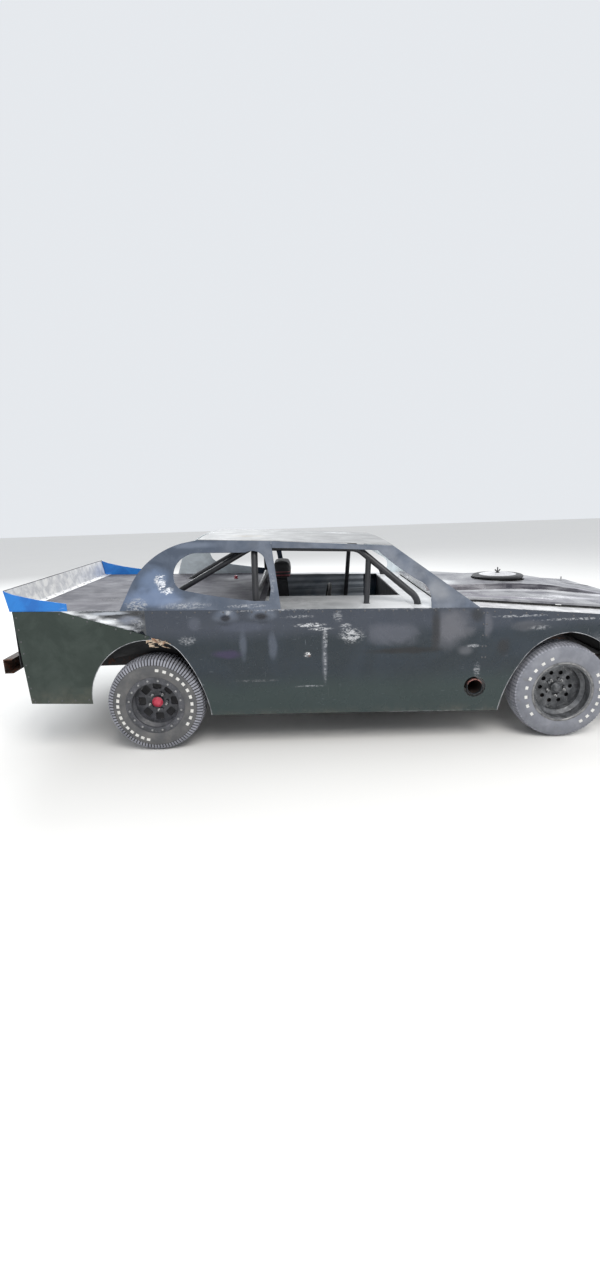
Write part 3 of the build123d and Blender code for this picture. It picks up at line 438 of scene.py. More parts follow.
sideLook = {
    "base": (0.006, 0.014, 0.021), "tone": (0.009, 0.019, 0.030), "toneSize": 0.35,
    "rough": 0.17, "roughHigh": 0.34, "scratch": (0.24, 0.26, 0.29), "speckle": 0.22,
    "scratchAlong": lengthUp, "dents": 0.6, "dentDepth": 0.016, "dentSize": 0.32,
    "dust": (dustTan, 205, 300, 0.3),
    # The bands and the spots of painted light below are painted reflections of the ground, the sky and the
    # surroundings on the glossy black sheet, pale and dark
    "bands": [(560, 380, (0.018, 0.034, 0.032), 0.8), (740, 850, (0.052, 0.060, 0.084), 0.55)],
    "hollows": [((511, -950, 915), (80, 60, 62), 0.8), ((744, -950, 935), (100, 60, 75), 0.8)],
    "glows": onSide(
        (511, 925, 105, 60, dentReflectionPale, 0.8), (511, 912, 46, 30, dentReflectionDark, 1.0),
        (744, 930, 130, 62, dentReflectionPale, 0.8), (744, 915, 66, 34, dentReflectionDark, 1.0),
        (625, 850, 260, 46, (0.06, 0.07, 0.10), 0.6), (614, 730, 34, 120, streakReflectionPale, 0.7),
        (808, 720, 38, 130, streakReflectionPale, 0.7), (500, 668, 130, 40, (0.035, 0.022, 0.07), 0.7),
        (1147, 640, 26, 210, (0.10, 0.11, 0.13), 0.55), (1600, 770, 250, 100, (0.085, 0.092, 0.115), 0.75),
        (1660, 655, 330, 30, (0.004, 0.005, 0.007), 0.9), (1990, 800, 170, 170, (0.105, 0.108, 0.125), 0.9),
        (1880, 800, 44, 190, (0.008, 0.009, 0.012), 0.8), (2080, 640, 70, 50, (0.11, 0.115, 0.13), 0.6),
        (2150, 880, 60, 70, (0.01, 0.012, 0.015), 0.7), (300, 880, 60, 60, (0.09, 0.10, 0.13), 0.5),
    ),
    "scuffs": onSide(
        (1060, 848, 120, 16, white, 1.0), (1120, 820, 90, 12, white, 0.9), (1155, 760, 20, 90, silver, 0.9),
        (1150, 600, 14, 170, silver, 0.6), (1330, 770, 95, 66, white, 0.65), (1290, 830, 50, 30, silver, 0.8),
        (1035, 648, 32, 20, (0.8, 0.8, 0.8), 1.3), (1045, 640, 16, 8, rustRed, 1.3),
        (1040, 430, 120, 7, silver, 0.7), (985, 905, 110, 14, silver, 0.6), (1240, 900, 40, 50, silver, 0.5),
        (2160, 500, 26, 70, silver, 0.7), (2130, 670, 50, 16, silver, 0.7), (900, 955, 500, 9, silver, 0.7),
        (1800, 935, 400, 8, silver, 0.6), (1350, 222, 900, 12, silver, 0.8), (250, 770, 70, 40, silver, 0.5),
        (700, 480, 200, 10, ash, 0.6),
    ),
}
# The fenders keep the side's painted reflection bands and get their own spots of painted reflection and shade
fenderLook = dict(sideLook, glows=onSide(
    (2215, 820, 50, 130, (0.09, 0.095, 0.115), 0.7), (2480, 800, 150, 50, (0.08, 0.085, 0.10), 0.6),
    (3150, 720, 160, 90, (0.08, 0.085, 0.10), 0.5), (2330, 660, 60, 90, (0.008, 0.009, 0.012), 0.8),
), scuffs=onSide(
    (2420, 862, 220, 10, silver, 0.9), (2800, 830, 300, 10, silver, 0.8),
    (2560, 780, 90, 20, silver, 0.5), (3000, 700, 120, 60, ash, 0.5),
), hollows=[((2500, -950, 820), (140, 60, 60), 0.5), ((3050, -950, 760), (120, 60, 60), 0.5)], scratches=0.55)
flatLook = {
    "base": (0.013, 0.024, 0.018), "tone": (0.028, 0.042, 0.034), "toneSize": 0.26,
    "rough": 0.42, "roughHigh": 0.62, "scratch": (0.10, 0.11, 0.11), "scratches": 0.3, "speckle": 0.2,
    "scratchAlong": lengthUp, "dents": 0.35, "dentDepth": 0.008, "dentSize": 0.4,
    "dust": (dustTan, 365, 520, 0.3),
}
# The pale inner colour is partly the sheet's bare inner side and partly a painted sky reflection
greenhouseLook = {
    "base": (0.028, 0.044, 0.074), "tone": (0.060, 0.080, 0.118), "toneSize": 0.16, "inner": (0.70, 0.77, 0.80),
    "rough": 0.36, "roughHigh": 0.55, "scratch": (0.30, 0.32, 0.35), "scratches": 0.3, "speckle": 0.2,
    "scratchAlong": [(0.15, 1, 1), (1, 1, 0.15)], "dents": 0.35,
    "scuffs": [
        ((95, -850, 1140), (34, 90, 72), chalk, 1.5), ((140, -850, 1090), (46, 90, 34), chalk, 1.3),
        ((62, -860, 1165), (24, 90, 36), white, 1.0), ((-60, -930, 1010), (90, 60, 60), silver, 0.7),
        ((250, -930, 1000), (200, 60, 26), silver, 0.6), ((650, -930, 985), (160, 60, 14), silver, 0.8),
        ((820, -900, 1180), (26, 90, 160), silver, 0.6),
    ],
    # Soft pale bluish spots: painted sky reflections on the sail panels and pillars
    "glows": [
        ((40, -860, 1180), (150, 120, 130), (0.14, 0.20, 0.32), 0.55),
        ((230, -900, 1010), (240, 90, 50), (0.15, 0.18, 0.24), 0.5),
        ((300, -720, 1370), (220, 90, 30), (0.14, 0.17, 0.23), 0.5),
        ((1900, -900, 1060), (120, 120, 110), (0.14, 0.15, 0.17), 0.6),
        ((40, -890, 1050), (260, 120, 90), (0.18, 0.25, 0.40), 0.5),
    ],
}
roofLook = {
    "base": (0.26, 0.262, 0.265), "tone": (0.34, 0.343, 0.345), "toneSize": 0.14, "specular": 0.15,
    "rough": 0.52, "roughHigh": 0.68, "metal": 0.1, "scratch": (0.30, 0.24, 0.16), "scratches": 0.55,
    "speckle": 0.35, "scratchAlong": [(0.10, 1, 1), (1, 0.12, 1)],
    "scuffs": [
        ((640, -420, 1400), (180, 120, 60), (0.30, 0.25, 0.18), 0.5),
        ((1100, -300, 1380), (260, 90, 60), (0.22, 0.21, 0.2), 0.5),
        ((1350, 200, 1370), (200, 160, 60), (0.72, 0.73, 0.74), 0.6),
    ],
}
rearDeckLook = {
    "base": (0.095, 0.094, 0.108), "tone": (0.145, 0.142, 0.158), "toneSize": 0.22, "specular": 0.12,
    "rough": 0.60, "roughHigh": 0.78, "scratch": (0.22, 0.21, 0.20), "scratches": 0.45, "speckle": 0.35,
    "scratchAlong": [(1, 0.12, 1), (0.14, 1, 1)],
    "scuffs": [((-300, -500, 985), (260, 160, 40), (0.045, 0.045, 0.05), 0.6)],
    # A thin dark line painted along the deck lid's lap seam: the seam itself and the painted shade under its edge
    "glows": [((-560, -170, 985), (430, 9, 200), (0.012, 0.012, 0.014), 1.0)],
}
cockpitLook = {
    "base": (0.24, 0.245, 0.25), "tone": (0.36, 0.365, 0.37), "toneSize": 0.2, "rough": 0.4, "roughHigh": 0.56,
    "scratch": (0.12, 0.11, 0.10), "scratches": 0.5, "speckle": 0.35, "scratchAlong": lengthAcross,
    "fade": ("X", 1150, 1650, (0.66, 0.67, 0.68), 0.95),
    "scuffs": [((1000, -620, 955), (240, 120, 40), (0.13, 0.13, 0.135), 0.5)],
}
dashLook = dict(
    cockpitLook, base=(0.56, 0.57, 0.58), tone=(0.68, 0.69, 0.70),
    fade=("Z", 928, 924, (0.010, 0.011, 0.014), 1.0),
)
innerLook = {
    "base": (0.012, 0.013, 0.015), "tone": (0.030, 0.031, 0.034), "toneSize": 0.18, "rough": 0.4,
    "roughHigh": 0.6, "scratch": (0.2, 0.2, 0.2), "scratchAlong": [(0.14, 1, 1)], "dentSize": 0.3,
}
doorSkinLook = dict(innerLook, base=(0.18, 0.205, 0.235), tone=(0.26, 0.285, 0.32), ribs=0.055)
# Fender tops: the pale mottled colour is a painted sky reflection on the black sheet; the scratches on it are wear
ledgeReflectionLook = {
    "base": (0.42, 0.42, 0.43), "tone": (0.60, 0.60, 0.61), "toneSize": 0.10, "specular": 0.25,
    "torn": (0.25, 1, 1), "rough": 0.45, "roughHigh": 0.6, "scratch": (0.14, 0.13, 0.15), "scratches": 0.9,
    "speckle": 0.6, "scratchAlong": [(0.14, 1, 1), (1, 1, 1)], "dents": 0.5, "dentSize": 0.12,
    "scuffs": [
        ((2600, -940, 890), (520, 26, 60), (0.12, 0.12, 0.13), 1.2),
        ((3150, -900, 830), (280, 60, 60), (0.16, 0.16, 0.17), 1.2),
        ((2250, -880, 910), (200, 40, 60), (0.24, 0.23, 0.25), 0.8),
    ],
}
hoodLook = {
    "base": (0.34, 0.342, 0.355), "tone": (0.15, 0.148, 0.172), "toneSize": 0.26, "torn": (0.2, 1, 1),
    "rough": 0.24, "roughHigh": 0.42, "metal": 0.35, "scratch": (0.05, 0.05, 0.06), "scratches": 0.6,
    "scratchAlong": [(0.10, 1, 1), (0.35, 0.12, 1)], "dents": 0.6, "dentDepth": 0.010, "dentSize": 0.24,
    # Painted shade on the sides of the raised centre and a painted highlight beside them
    "flanks": {
        "inner": 312, "outer": 350, "ridge": 430, "dark": (0.030, 0.028, 0.038), "pale": (0.60, 0.60, 0.62),
    },
    # Painted highlights and reflections on the silver hood, and painted shade at its far front corner
    "glows": [
        ((2500, -665, 940), (620, 52, 90), (0.20, 0.18, 0.225), 0.85),
        ((2050, -690, 945), (120, 60, 90), (0.6, 0.6, 0.62), 0.8),
        ((3000, -560, 915), (260, 70, 90), (0.52, 0.51, 0.55), 0.8),
        ((2100, -150, 990), (170, 200, 60), (0.70, 0.71, 0.72), 0.9),
        ((3200, -300, 880), (200, 160, 90), (0.30, 0.28, 0.34), 0.8),
        ((3260, -90, 885), (180, 60, 60), (0.03, 0.03, 0.034), 0.8),
        ((3400, 290, 850), (300, 80, 300), (0.008, 0.008, 0.010), 1.0),
    ],
    "scuffs": [
        ((2300, -600, 950), (420, 40, 60), (0.16, 0.14, 0.17), 1.0),
        ((2700, -640, 940), (260, 40, 60), (0.85, 0.85, 0.86), 1.0),
        ((2900, -560, 930), (300, 90, 60), (0.80, 0.80, 0.82), 0.7),
        ((2250, -480, 960), (300, 60, 60), (0.25, 0.23, 0.27), 0.9),
    ],
}
aluminiumLook = {
    "base": (0.60, 0.60, 0.61), "tone": (0.86, 0.85, 0.83), "toneSize": 0.07, "rough": 0.36, "roughHigh": 0.55,
    "metal": 0.5, "scratch": (0.24, 0.20, 0.15), "scratches": 0.6, "speckle": 0.5,
    "scratchAlong": [(1, 0.1, 1), (1, 1, 0.15)], "dentDepth": 0.005, "dentSize": 0.12,
}
blueLook = {
    "base": (0.008, 0.125, 0.44), "tone": (0.013, 0.18, 0.56), "toneSize": 0.14, "rough": 0.34, "roughHigh": 0.5,
    "scratch": (0.42, 0.55, 0.78), "scratches": 0.35, "speckle": 0.15, "dents": 0.3, "dentDepth": 0.004,
    "dentSize": 0.15,
}
cageLook = {
    "base": (0.010, 0.011, 0.013), "tone": (0.020, 0.021, 0.025), "toneSize": 0.10, "rough": 0.32,
    "roughHigh": 0.5, "scratch": (0.16, 0.16, 0.17), "scratchAlong": [(0.2, 1, 1)], "dents": 0.1,
    "dentDepth": 0.001, "dentSize": 0.3,
}
print("looks set")

frameLook = {"base": (0.020, 0.020, 0.022), "rough": 0.5, "bloomFrom": 0.50}
bumperLook = {"base": (0.060, 0.048, 0.040), "rough": 0.55, "bloomFrom": 0.44}
springLook = {"base": (0.030, 0.030, 0.033), "rough": 0.45, "bloomFrom": 0.55}
rustyLook = {"base": (0.030, 0.022, 0.019), "rough": 0.7, "bloomFrom": 0.50, "fleck": (0.12, 0.07, 0.05)}
pinLook = {"base": (0.50, 0.50, 0.50), "rough": 0.3, "metal": 0.9, "bloomFrom": 0.66}
engineLook = {"base": (0.028, 0.028, 0.030), "rough": 0.55, "bloomFrom": 0.56, "metal": 0.4}
seatLook = {"base": (0.014, 0.014, 0.016), "tone": (0.03, 0.03, 0.034), "rough": 0.5}
gripLook = {"base": (0.012, 0.012, 0.012), "tone": (0.024, 0.023, 0.022), "rough": 0.6, "grain": 0.5}
rimLook = {
    "base": (0.040, 0.042, 0.048), "tone": (0.085, 0.086, 0.098), "rough": 0.36,
    "grime": (0.26, 0.255, 0.265), "grimeShare": 0.65, "grimeSize": 0.014,
}
frontRimLook = {
    "base": (0.055, 0.058, 0.062), "tone": (0.16, 0.165, 0.175), "rough": 0.30, "metal": 0.35,
    "grime": (0.34, 0.34, 0.34), "grimeShare": 0.7, "grimeSize": 0.03,
}
cleanerLook = {
    "base": (0.012, 0.012, 0.014), "tone": (0.03, 0.03, 0.034), "rough": 0.42, "metal": 0.2,
    "grime": (0.10, 0.10, 0.11), "grimeShare": 0.35,
}
rubberLook = {
    "base": (0.085, 0.086, 0.090), "tone": (0.135, 0.132, 0.130), "rough": 0.78, "toneSize": 0.09,
    "grime": (0.13, 0.12, 0.105), "grimeShare": 0.45, "grain": 0.35, "grimeSize": 0.05,
}
frontRubberLook = dict(rubberLook, base=(0.165, 0.172, 0.197), tone=(0.225, 0.232, 0.258))
treadLook = dict(rubberLook, base=(0.22, 0.225, 0.255), tone=(0.31, 0.315, 0.355))
# Near-black painted shade: the rear tyres' groove floors and slots, and the rear axle so its drums read dark through
# the rim's windows
shadeBlackLook = dict(rubberLook, base=(0.02, 0.02, 0.022), tone=(0.035, 0.034, 0.036))

# Each row: the paint's key, its material's name, its look and the CAD nodes it covers
finishes = {
    wornPaint: [
        ("side", "blackSidePaint", sideLook, ["side_sheets", "quarter_skins"]),
        ("fender", "blackFenderPaint", fenderLook, ["fenders", "nose_panel"]),
        ("flat", "flatQuarterPaint", flatLook, ["quarter_sheets"]),
        ("greenhouse", "blueGreyPaint", greenhouseLook, ["sail_panels", "pillar_panels", "roof_bands"]),
        ("roof", "silverRoofPaint", roofLook, ["roof_panel"]),
        ("rearDeck", "greyDeckPaint", rearDeckLook, ["rear_decks"]),
        ("cockpit", "paleCockpitSheet", cockpitLook, ["interior_decks"]),
        ("ledge", "mottledFenderTop", ledgeReflectionLook, ["fender_tops"]),
        ("inner", "darkInnerSheet", innerLook, ["firewalls", "floor_pan", "tub_side", "tail_panel"]),
        ("doorSkin", "ribbedDoorSheet", doorSkinLook, ["door_inner_skin"]),
        ("dash", "paleCowlSheet", dashLook, ["cowl_dash"]),
        ("hood", "silverHoodPaint", hoodLook, ["hood"]),
        ("aluminium", "mottledAluminium", aluminiumLook, ["spoiler"]),
        ("blue", "blueDamPaint", blueLook, ["spoiler_dams"]),
        ("cage", "blackCagePaint", cageLook, [n for n in nodes if n.startswith("cage_")]),
    ],
    rustySteel: [
        ("frame", "blackFrameSteel", frameLook, [
            "frame_rails", "knuckle_left", "knuckle_right", "control_arms", "driveshaft",
        ]),
        ("bumper", "brownBumperSteel", bumperLook, ["front_bumper", "rear_bumper"]),
        ("spring", "greySpringSteel", springLook, ["rear_springs"]),
        ("rusty", "rustyPipeSteel", rustyLook, ["exhaust_pipes"]),
        ("pin", "platedPinSteel", pinLook, ["hood_pins", "steering_column"]),
        ("engine", "darkEngineIron", engineLook, ["engine_block", "transmission", "radiator"]),
    ],
    plainFinish: [
        ("seat", "blackSeatShell", seatLook, ["seat", "headrest", "fuel_cell"]),
        ("grip", "blackGrip", gripLook, ["steering_wheel"]),
        ("rearRim", "blackRimPaint", rimLook, ["rim_rear_left", "rim_rear_right"]),
        ("frontRim", "wornRimSteel", frontRimLook, ["rim_front_left", "rim_front_right"]),
        ("cleaner", "darkCleanerPaint", cleanerLook, ["air_cleaner"]),
        ("rubber", "dustyRubber", rubberLook, [n for n in nodes if n.startswith("tyre_")]),
        ("frontRubber", "paleDustyRubber", frontRubberLook, []),
        ("tread", "dustyTreadRubber", treadLook, []),
        # The rear axle is painted near-black as shade behind the rim's windows
        ("slot", "darkSlotRubber", shadeBlackLook, ["rear_axle"]),
    ],
}
paints, dressed = {}, set()
for finish, rows in finishes.items():
    for paint, title, look, members in rows:
        paints[paint] = finish(title, look)
        dressed.update(members)
        for member in members:
            for place in nodes[member].material_slots:
                place.material = paints[paint]
for bare in sorted(set(nodes) - dressed):
    print("no finish for", bare)
print("nodes painted")


# Wheels
wheels = {}
for place, x, side in (
    ("rear_right", 0, -1), ("rear_left", 0, 1), ("front_right", car["wheelbase"], -1),
    ("front_left", car["wheelbase"], 1),
):
    wheels[place] = {
        "side": side, "axle": place.split("_")[0], "centre": at(x, side * car["wheelY"], car["tyreRadius"]),
    }

# The tyre's section in millimetres: out is from its middle plane, the rest are radii and shares
tyreLook = {
    "bead": 109.2, "beadLow": 198, "foot": 199, "bulge": 115.4, "bulgeRadius": 262, "shoulder": 318,
    "treadHalf": 95.5, "crown": 329.6, "pitches": 92, "slotFrom": 0.62, "grooveDepth": 7.0, "slotDepth": 6.0,
    "seat": 99, "seatLow": 190.5, "rearFoot": 211, "grooves": [-64, -31, 31, 64], "grooveHalf": 4.5,
    "zigzag": 3.5, "wallSteps": 13, "ribs": [(0.16, 1.2), (0.30, 0.8), (0.86, 1.2)], "innerSlots": 306,
    "pattern": [(0.0, 0), (0.05, 1), (0.40, 1), (0.45, 0), (0.72, 0)],
}
frontTyreLook = dict(
    tyreLook, grooves=[-48, -16, 16, 48], grooveDepth=4.0, slotDepth=3.0, zigzag=1.0, pitches=84, slotFrom=0.9,
    foot=210, beadLow=209.3,
)


def arcRows(a, via, b, steps):
    # Points on the arc from a through via to b, ends included
    (ax, ay), (bx, by), (cx, cy) = a, via, b
    d = 2 * (ax * (by - cy) + bx * (cy - ay) + cx * (ay - by))
    aa, bb, cc = ax**2 + ay**2, bx**2 + by**2, cx**2 + cy**2
    ux = (aa * (by - cy) + bb * (cy - ay) + cc * (ay - by)) / d
    uy = (aa * (cx - bx) + bb * (ax - cx) + cc * (bx - ax)) / d
    radius = math.hypot(ax - ux, ay - uy)
    start, middle, end = (math.atan2(y - uy, x - ux) for x, y in (a, via, b))
    full = (end - start) % (2 * math.pi)
    if (middle - start) % (2 * math.pi) > full:
        full -= 2 * math.pi
    turns = [start + full * i / steps for i in range(steps + 1)]
    return [(ux + radius * math.cos(turn), uy + radius * math.sin(turn)) for turn in turns]


def wallRows(look, steps):
    bead, bulge = (look["bead"], look["foot"]), (look["bulge"], look["bulgeRadius"])
    return arcRows(bead, bulge, (look["treadHalf"], look["shoulder"]), steps)


def treadRows(look):
    # Across the tread: (distance from the middle, 1 at a groove's floor)
    edge, grooves, half = look["treadHalf"], look["grooves"], look["grooveHalf"]
    rows = [(-edge, 0), (-(edge + grooves[-1]) / 2, 0)]
    for i, groove in enumerate(grooves):
        rows += [(groove - half, 0), (groove - half + 1, 1), (groove + half - 1, 1), (groove + half, 0)]
        if i + 1 < len(grooves):
            rows.append(((groove + grooves[i + 1]) / 2, 0))
    return rows + [((edge + grooves[-1]) / 2, 0), (edge, 0)]


def tyreForm(form, look):
    # Rows across: (out, radius, 1 at a groove's floor, how deep a slot cuts there)
    steps, edge = look["wallSteps"], look["treadHalf"]
    wall = wallRows(look, steps)[:-1]
    rows = [(look["seat"], look["beadLow"], 0, 0)]
    for i, (out, radius) in enumerate(wall):
        lift = sum(h for place, h in look["ribs"] if abs(i / steps - place) < 0.5 / steps)
        rows.append((out + lift * 0.3, radius, 0, 0.75 if i / steps > look["slotFrom"] else 0))
    for out, floor in reversed(treadRows(look)):
        crown = look["crown"] - (look["crown"] - look["shoulder"]) * (out / edge) ** 2
        rows.append((out, crown, floor, 1))
    for out, radius in reversed(wall):
        rows.append((-out, radius, 0, 0.7 if radius > look["innerSlots"] else 0))
    rows[-1] = (-look["seat"], look["rearFoot"], 0, 0)
    rows += [(-look["seat"], look["seatLow"], 0, 0), (look["seat"], look["seatLow"], 0, 0)]
    rings, cuts = [], []
    for pitch in range(look["pitches"]):
        for share, slot in look["pattern"]:
            sway = look["zigzag"] * (abs((pitch % 2) + share - 1) * 2 - 1)
            ring = []
            for out, radius, floor, onTread in rows:
                skew = sway if onTread == 1 and abs(out) < edge - 8 else 0
                drop = look["grooveDepth"] * floor
                if slot and onTread and not look["grooves"][-2] <= abs(out) <= look["grooves"][-1]:
                    drop = max(drop, look["slotDepth"] * onTread)
                turn = 2 * math.pi * (pitch + share) / look["pitches"]
                ring.append(roundAxle(look, turn, radius - drop, out + skew))
            rings.append(ring)
            cuts.append(slot)
    faces = iter(stitch(form, rings, True))
    for step, cut in enumerate(cuts):
        deep = cut and cuts[(step + 1) % len(cuts)]
        for row, after in zip(rows, rows[1:] + rows[:1]):
            face = next(faces)
            # Tread faces take the second material; groove floors and deep slots the third, on the rear tyres a
            # near-black painted shade
            if min(row[3], after[3]):
                face.material_index = 2 if deep or min(row[2], after[2]) else 1


# Equal white blocks: radii, half width in degrees and runs of (first angle, step, count);
# angles run from the front, upward
marks = {
    "rear": {"low": 240, "high": 259, "wide": 2.7, "runs": [(82, -11.5, 11), (254.6, -9.4, 11)]},
    "front": {"low": 241, "high": 260, "wide": 2.6, "runs": [(111, 15.0, 8), (303, 12.0, 8)]},
}
markSection = {"under": 0.1, "proud": 0.9, "shares": (0, 0.33, 0.67, 1), "wallSteps": 24}


def markForm(form, look):
    # Each block is a sheet bent along the sidewall, three points wide
    wall = [(radius, out) for out, radius in wallRows(look, markSection["wallSteps"])]
    half = math.radians(look["wide"])
    for first, step, count in look["runs"]:
        for i in range(count):
            middle = math.radians(first + step * i)
            rings = []
            for share in markSection["shares"]:
                radius = look["low"] + (look["high"] - look["low"]) * share
                out = onLine(wall, radius)
                turns = (middle - half, middle, middle + half)
                under = [roundAxle(look, turn, radius, out + markSection["under"]) for turn in turns]
                proud = [roundAxle(look, turn, radius, out + markSection["proud"]) for turn in turns]
                rings.append(under + proud[::-1])
            stitch(form, rings)


markLook = {
    "base": (0.68, 0.67, 0.64), "tone": (0.56, 0.55, 0.52), "rough": 0.7, "grime": (0.4, 0.39, 0.36),
    "grimeShare": 0.2,
}
paints["mark"] = plainFinish("whiteTyreMarks", markLook)

for place, wheel in wheels.items():
    body, rear = "wheel_" + place, wheel["axle"] == "rear"
    look = {**(tyreLook if rear else frontTyreLook), **wheel}
    tyre = makePiece(
        "ribbedTyre_" + place, tyreForm, look, "rubber" if rear else "frontRubber", body,
        ["tyre_" + place], 35,
    )
    tyre.data.materials.append(paints["tread"])
    # The third material darkens the rear tyres' grooves as painted shade; the front tyres keep their rubber there
    tyre.data.materials.append(paints["slot" if rear else "frontRubber"])
    marked = {**look, **marks[wheel["axle"]]}
    makePiece("sidewallMarks_" + place, markForm, marked, "mark", body)
print("tyres built")

# Parts on the rims: profiles of (millimetres out from the lip or the disc, radius), and nuts and
# bolts of (radius and height in metres, sides, how domed)
rimDetail = {
    "lipOut": 107.5, "ringThick": 4, "bolts": 16, "boltRing": 177,
    "ring": [(-14, 158), (3, 158), (4, 160), (4, 189.5), (2, 197.5), (-2, 197.5), (-3, 193.5), (-10, 164)],
    "bolt": (0.0075, 0.0045, 6, 0.25), "lugs": 5, "lugRing": 60, "lugOut": 18, "nutSeat": (0.0105, 0.006, 12, 0.7),
    "nut": (0.0062, 0.013, 10, 0.2), "nutOut": 23, "steps": 96, "capSteps": 40,
    "cap": [(20, 0.2), (20, 37), (27, 37), (29, 33), (34, 30), (42, 19.8), (44, 0.2)],
    "discOut": {"rear": 11.5, "front": -10.5},
    "lip": [(-3, 195), (0.6, 195), (2.8, 197.5), (3.4, 203), (1.5, 208.7), (-3, 208.7)],
}
capLook = {
    "base": (0.42, 0.02, 0.05), "tone": (0.55, 0.08, 0.12), "rough": 0.4, "grime": (0.5, 0.4, 0.4),
    "grimeShare": 0.5,
}
boltLook = {"base": (0.34, 0.34, 0.34), "rough": 0.35, "metal": 0.8, "bloomFrom": 0.6}
lipLook = {
    "base": (0.30, 0.30, 0.30), "tone": (0.10, 0.10, 0.105), "rough": 0.3, "metal": 0.85,
    "grime": (0.06, 0.055, 0.05), "grimeShare": 0.6,
}
paints["cap"] = plainFinish("redCentreCap", capLook)
paints["bolt"] = rustySteel("dullBoltSteel", boltLook)
paints["lip"] = plainFinish("wornLipSteel", lipLook)


def ringForm(form, look):
    spinRing(form, [(look["lipOut"] + out, radius) for out, radius in look["ring"]], look, look["steps"])


def boltForm(form, look):
    for i in range(look["bolts"]):
        turn = 2 * math.pi * (i + 0.5) / look["bolts"]
        foot = roundAxle(look, turn, look["boltRing"], look["lipOut"] + look["ringThick"])
        roundHead(form, foot, Vector((0, look["side"], 0)), *look["bolt"])


def lugForm(form, look):
    for i in range(look["lugs"]):
        turn = math.radians(90 * look["side"]) + 2 * math.pi * i / look["lugs"]
        for size, out in ((look["nutSeat"], look["lugOut"]), (look["nut"], look["nutOut"])):
            foot = roundAxle(look, turn, look["lugRing"], look["disc"] + out)
            roundHead(form, foot, Vector((0, look["side"], 0)), *size)


def capForm(form, look):
    spinRing(form, [(look["disc"] + out, radius) for out, radius in look["cap"]], look, look["capSteps"])


def lipForm(form, look):
    spinRing(form, [(look["lipOut"] + out, radius) for out, radius in look["lip"]], look, look["steps"])


for place, wheel in wheels.items():
    look = {**rimDetail, **wheel, "disc": rimDetail["discOut"][wheel["axle"]]}
    rear = wheel["axle"] == "rear"
    rows = [("wornLip_", lipForm, "lip", "rim_black")]
    if rear:
        rows = [("outerRing_", ringForm, "rearRim", "rim_black"), ("ringBolts_", boltForm, "bolt", "pin_steel")]
    rows.append(("lugNuts_", lugForm, "bolt", "pin_steel"))
    rows.append(("hubCap_", capForm, "cap" if rear else "frontRim", "rim_black"))
    for name, build, paint, slot in rows:
        makePiece(name + place, build, look, paint, "wheel_" + place)
print("rims dressed")


# Crumpled upper quarter skins behind the flat repair sheets
skinLook = {
    "rear": -860, "front": -11, "columns": 130, "rows": 26, "thick": 3, "depth": 17, "edge": 45,
    "low": [(-860, 850), (-250, 800), (-120, 789), (-11, 784)], "foldX": 0.0042, "foldZ": 0.011,
    "creaseX": -380, "creaseZ": 905, "creaseSlope": 0.16, "creaseHalf": 26,
}


def crumple(x, z, look):
    # How far the skin is pushed in at a point, in millimetres
    seat = Vector((x * look["foldX"], 0, z * look["foldZ"]))
    fold = abs(noise.noise(seat * 1.6)) + 0.55 * abs(noise.noise(seat * 3.4 + Vector((7, 0, 3))))
    away = abs(z - look["creaseZ"] - look["creaseSlope"] * (x - look["creaseX"]))
    crease = 0.5 * max(0, 1 - away / look["creaseHalf"])
    fromEdge = min(x - look["rear"], look["front"] - x, sillZ(x) - z, z - onLine(look["low"], x))
    return look["depth"] * min(1, fold * 1.5 + crease) * blendShare(0, look["edge"], fromEdge)


def crumpledSkin(form, side, look):
    def place(x, share, lift):
        low = onLine(look["low"], x)
        z = low + (sillZ(x) - low) * share
        return at(x, side * (car["bodyHalf"] - lift - crumple(x, z, look)), z)

    foldedSheet(form, look, place)


crumpledLook = {
    "base": (0.010, 0.013, 0.018), "tone": (0.040, 0.046, 0.056), "toneSize": 0.12, "torn": (0.3, 1, 1),
    "rough": 0.12, "roughHigh": 0.30, "scratch": (0.42, 0.43, 0.45), "scratchAlong": [(0.2, 1, 1)],
    "dentDepth": 0.004, "dentSize": 0.08, "specular": 0.9,
    # Bright curved painted highlights on the crumpled skin
    "glows": [
        ((-540, -945, 976), (150, 90, 36), (0.72, 0.74, 0.77), 1.0),
        ((-420, -945, 948), (170, 90, 38), (0.78, 0.80, 0.83), 1.0),
        ((-300, -945, 905), (170, 90, 42), (0.85, 0.87, 0.90), 1.0),
        ((-190, -945, 866), (130, 90, 30), (0.66, 0.68, 0.71), 0.9),
        ((-260, -945, 968), (160, 90, 18), (0.40, 0.43, 0.48), 0.9),
        ((-120, -945, 915), (110, 90, 40), (0.20, 0.22, 0.27), 0.8),
    ],
    "scuffs": [
        ((-440, -945, 930), (180, 60, 26), white, 0.9), ((-120, -945, 850), (80, 60, 30), silver, 0.8),
        ((-60, -945, 900), (60, 60, 40), silver, 0.7),
    ],
}
paints["crumpled"] = wornPaint("crumpledBlackPaint", crumpledLook)
makePiece("crumpledQuarters", bothSides(crumpledSkin), skinLook, "crumpled", replaced=["quarter_skins"], sharp=60)
print("quarter skins built")

# Hood: raised centre, soft folds and dents, on the CAD hood's stations of (x, height, bulge)
hoodShape = {
    "rear": 1945, "front": 3500, "half": 745, "rise": 30, "fold": 14, "bulgeHalf": 320, "bulgeSlope": 22,
    "holeX": 2600, "holeRadius": 205, "pinY": 640, "pinX": [2010, 3420], "pinHole": 12, "thick": 2.6,
    "cell": 15, "dent": 5, "dentX": 0.0045, "dentY": 0.0055, "calmEdge": 120, "calmHole": 70, "plateSteps": 32,
    "plate": [(11, 0.4), (11, 2.6), (24, 2.6), (27, 1.2), (27, 0.4)],
    "stations": [
        (1945, 950, 35), (2510, 947, 37), (2813, 936, 34), (2966, 916, 30),
        (3120, 896, 19), (3252, 879, 7), (3500, 838, 3),
    ],
}


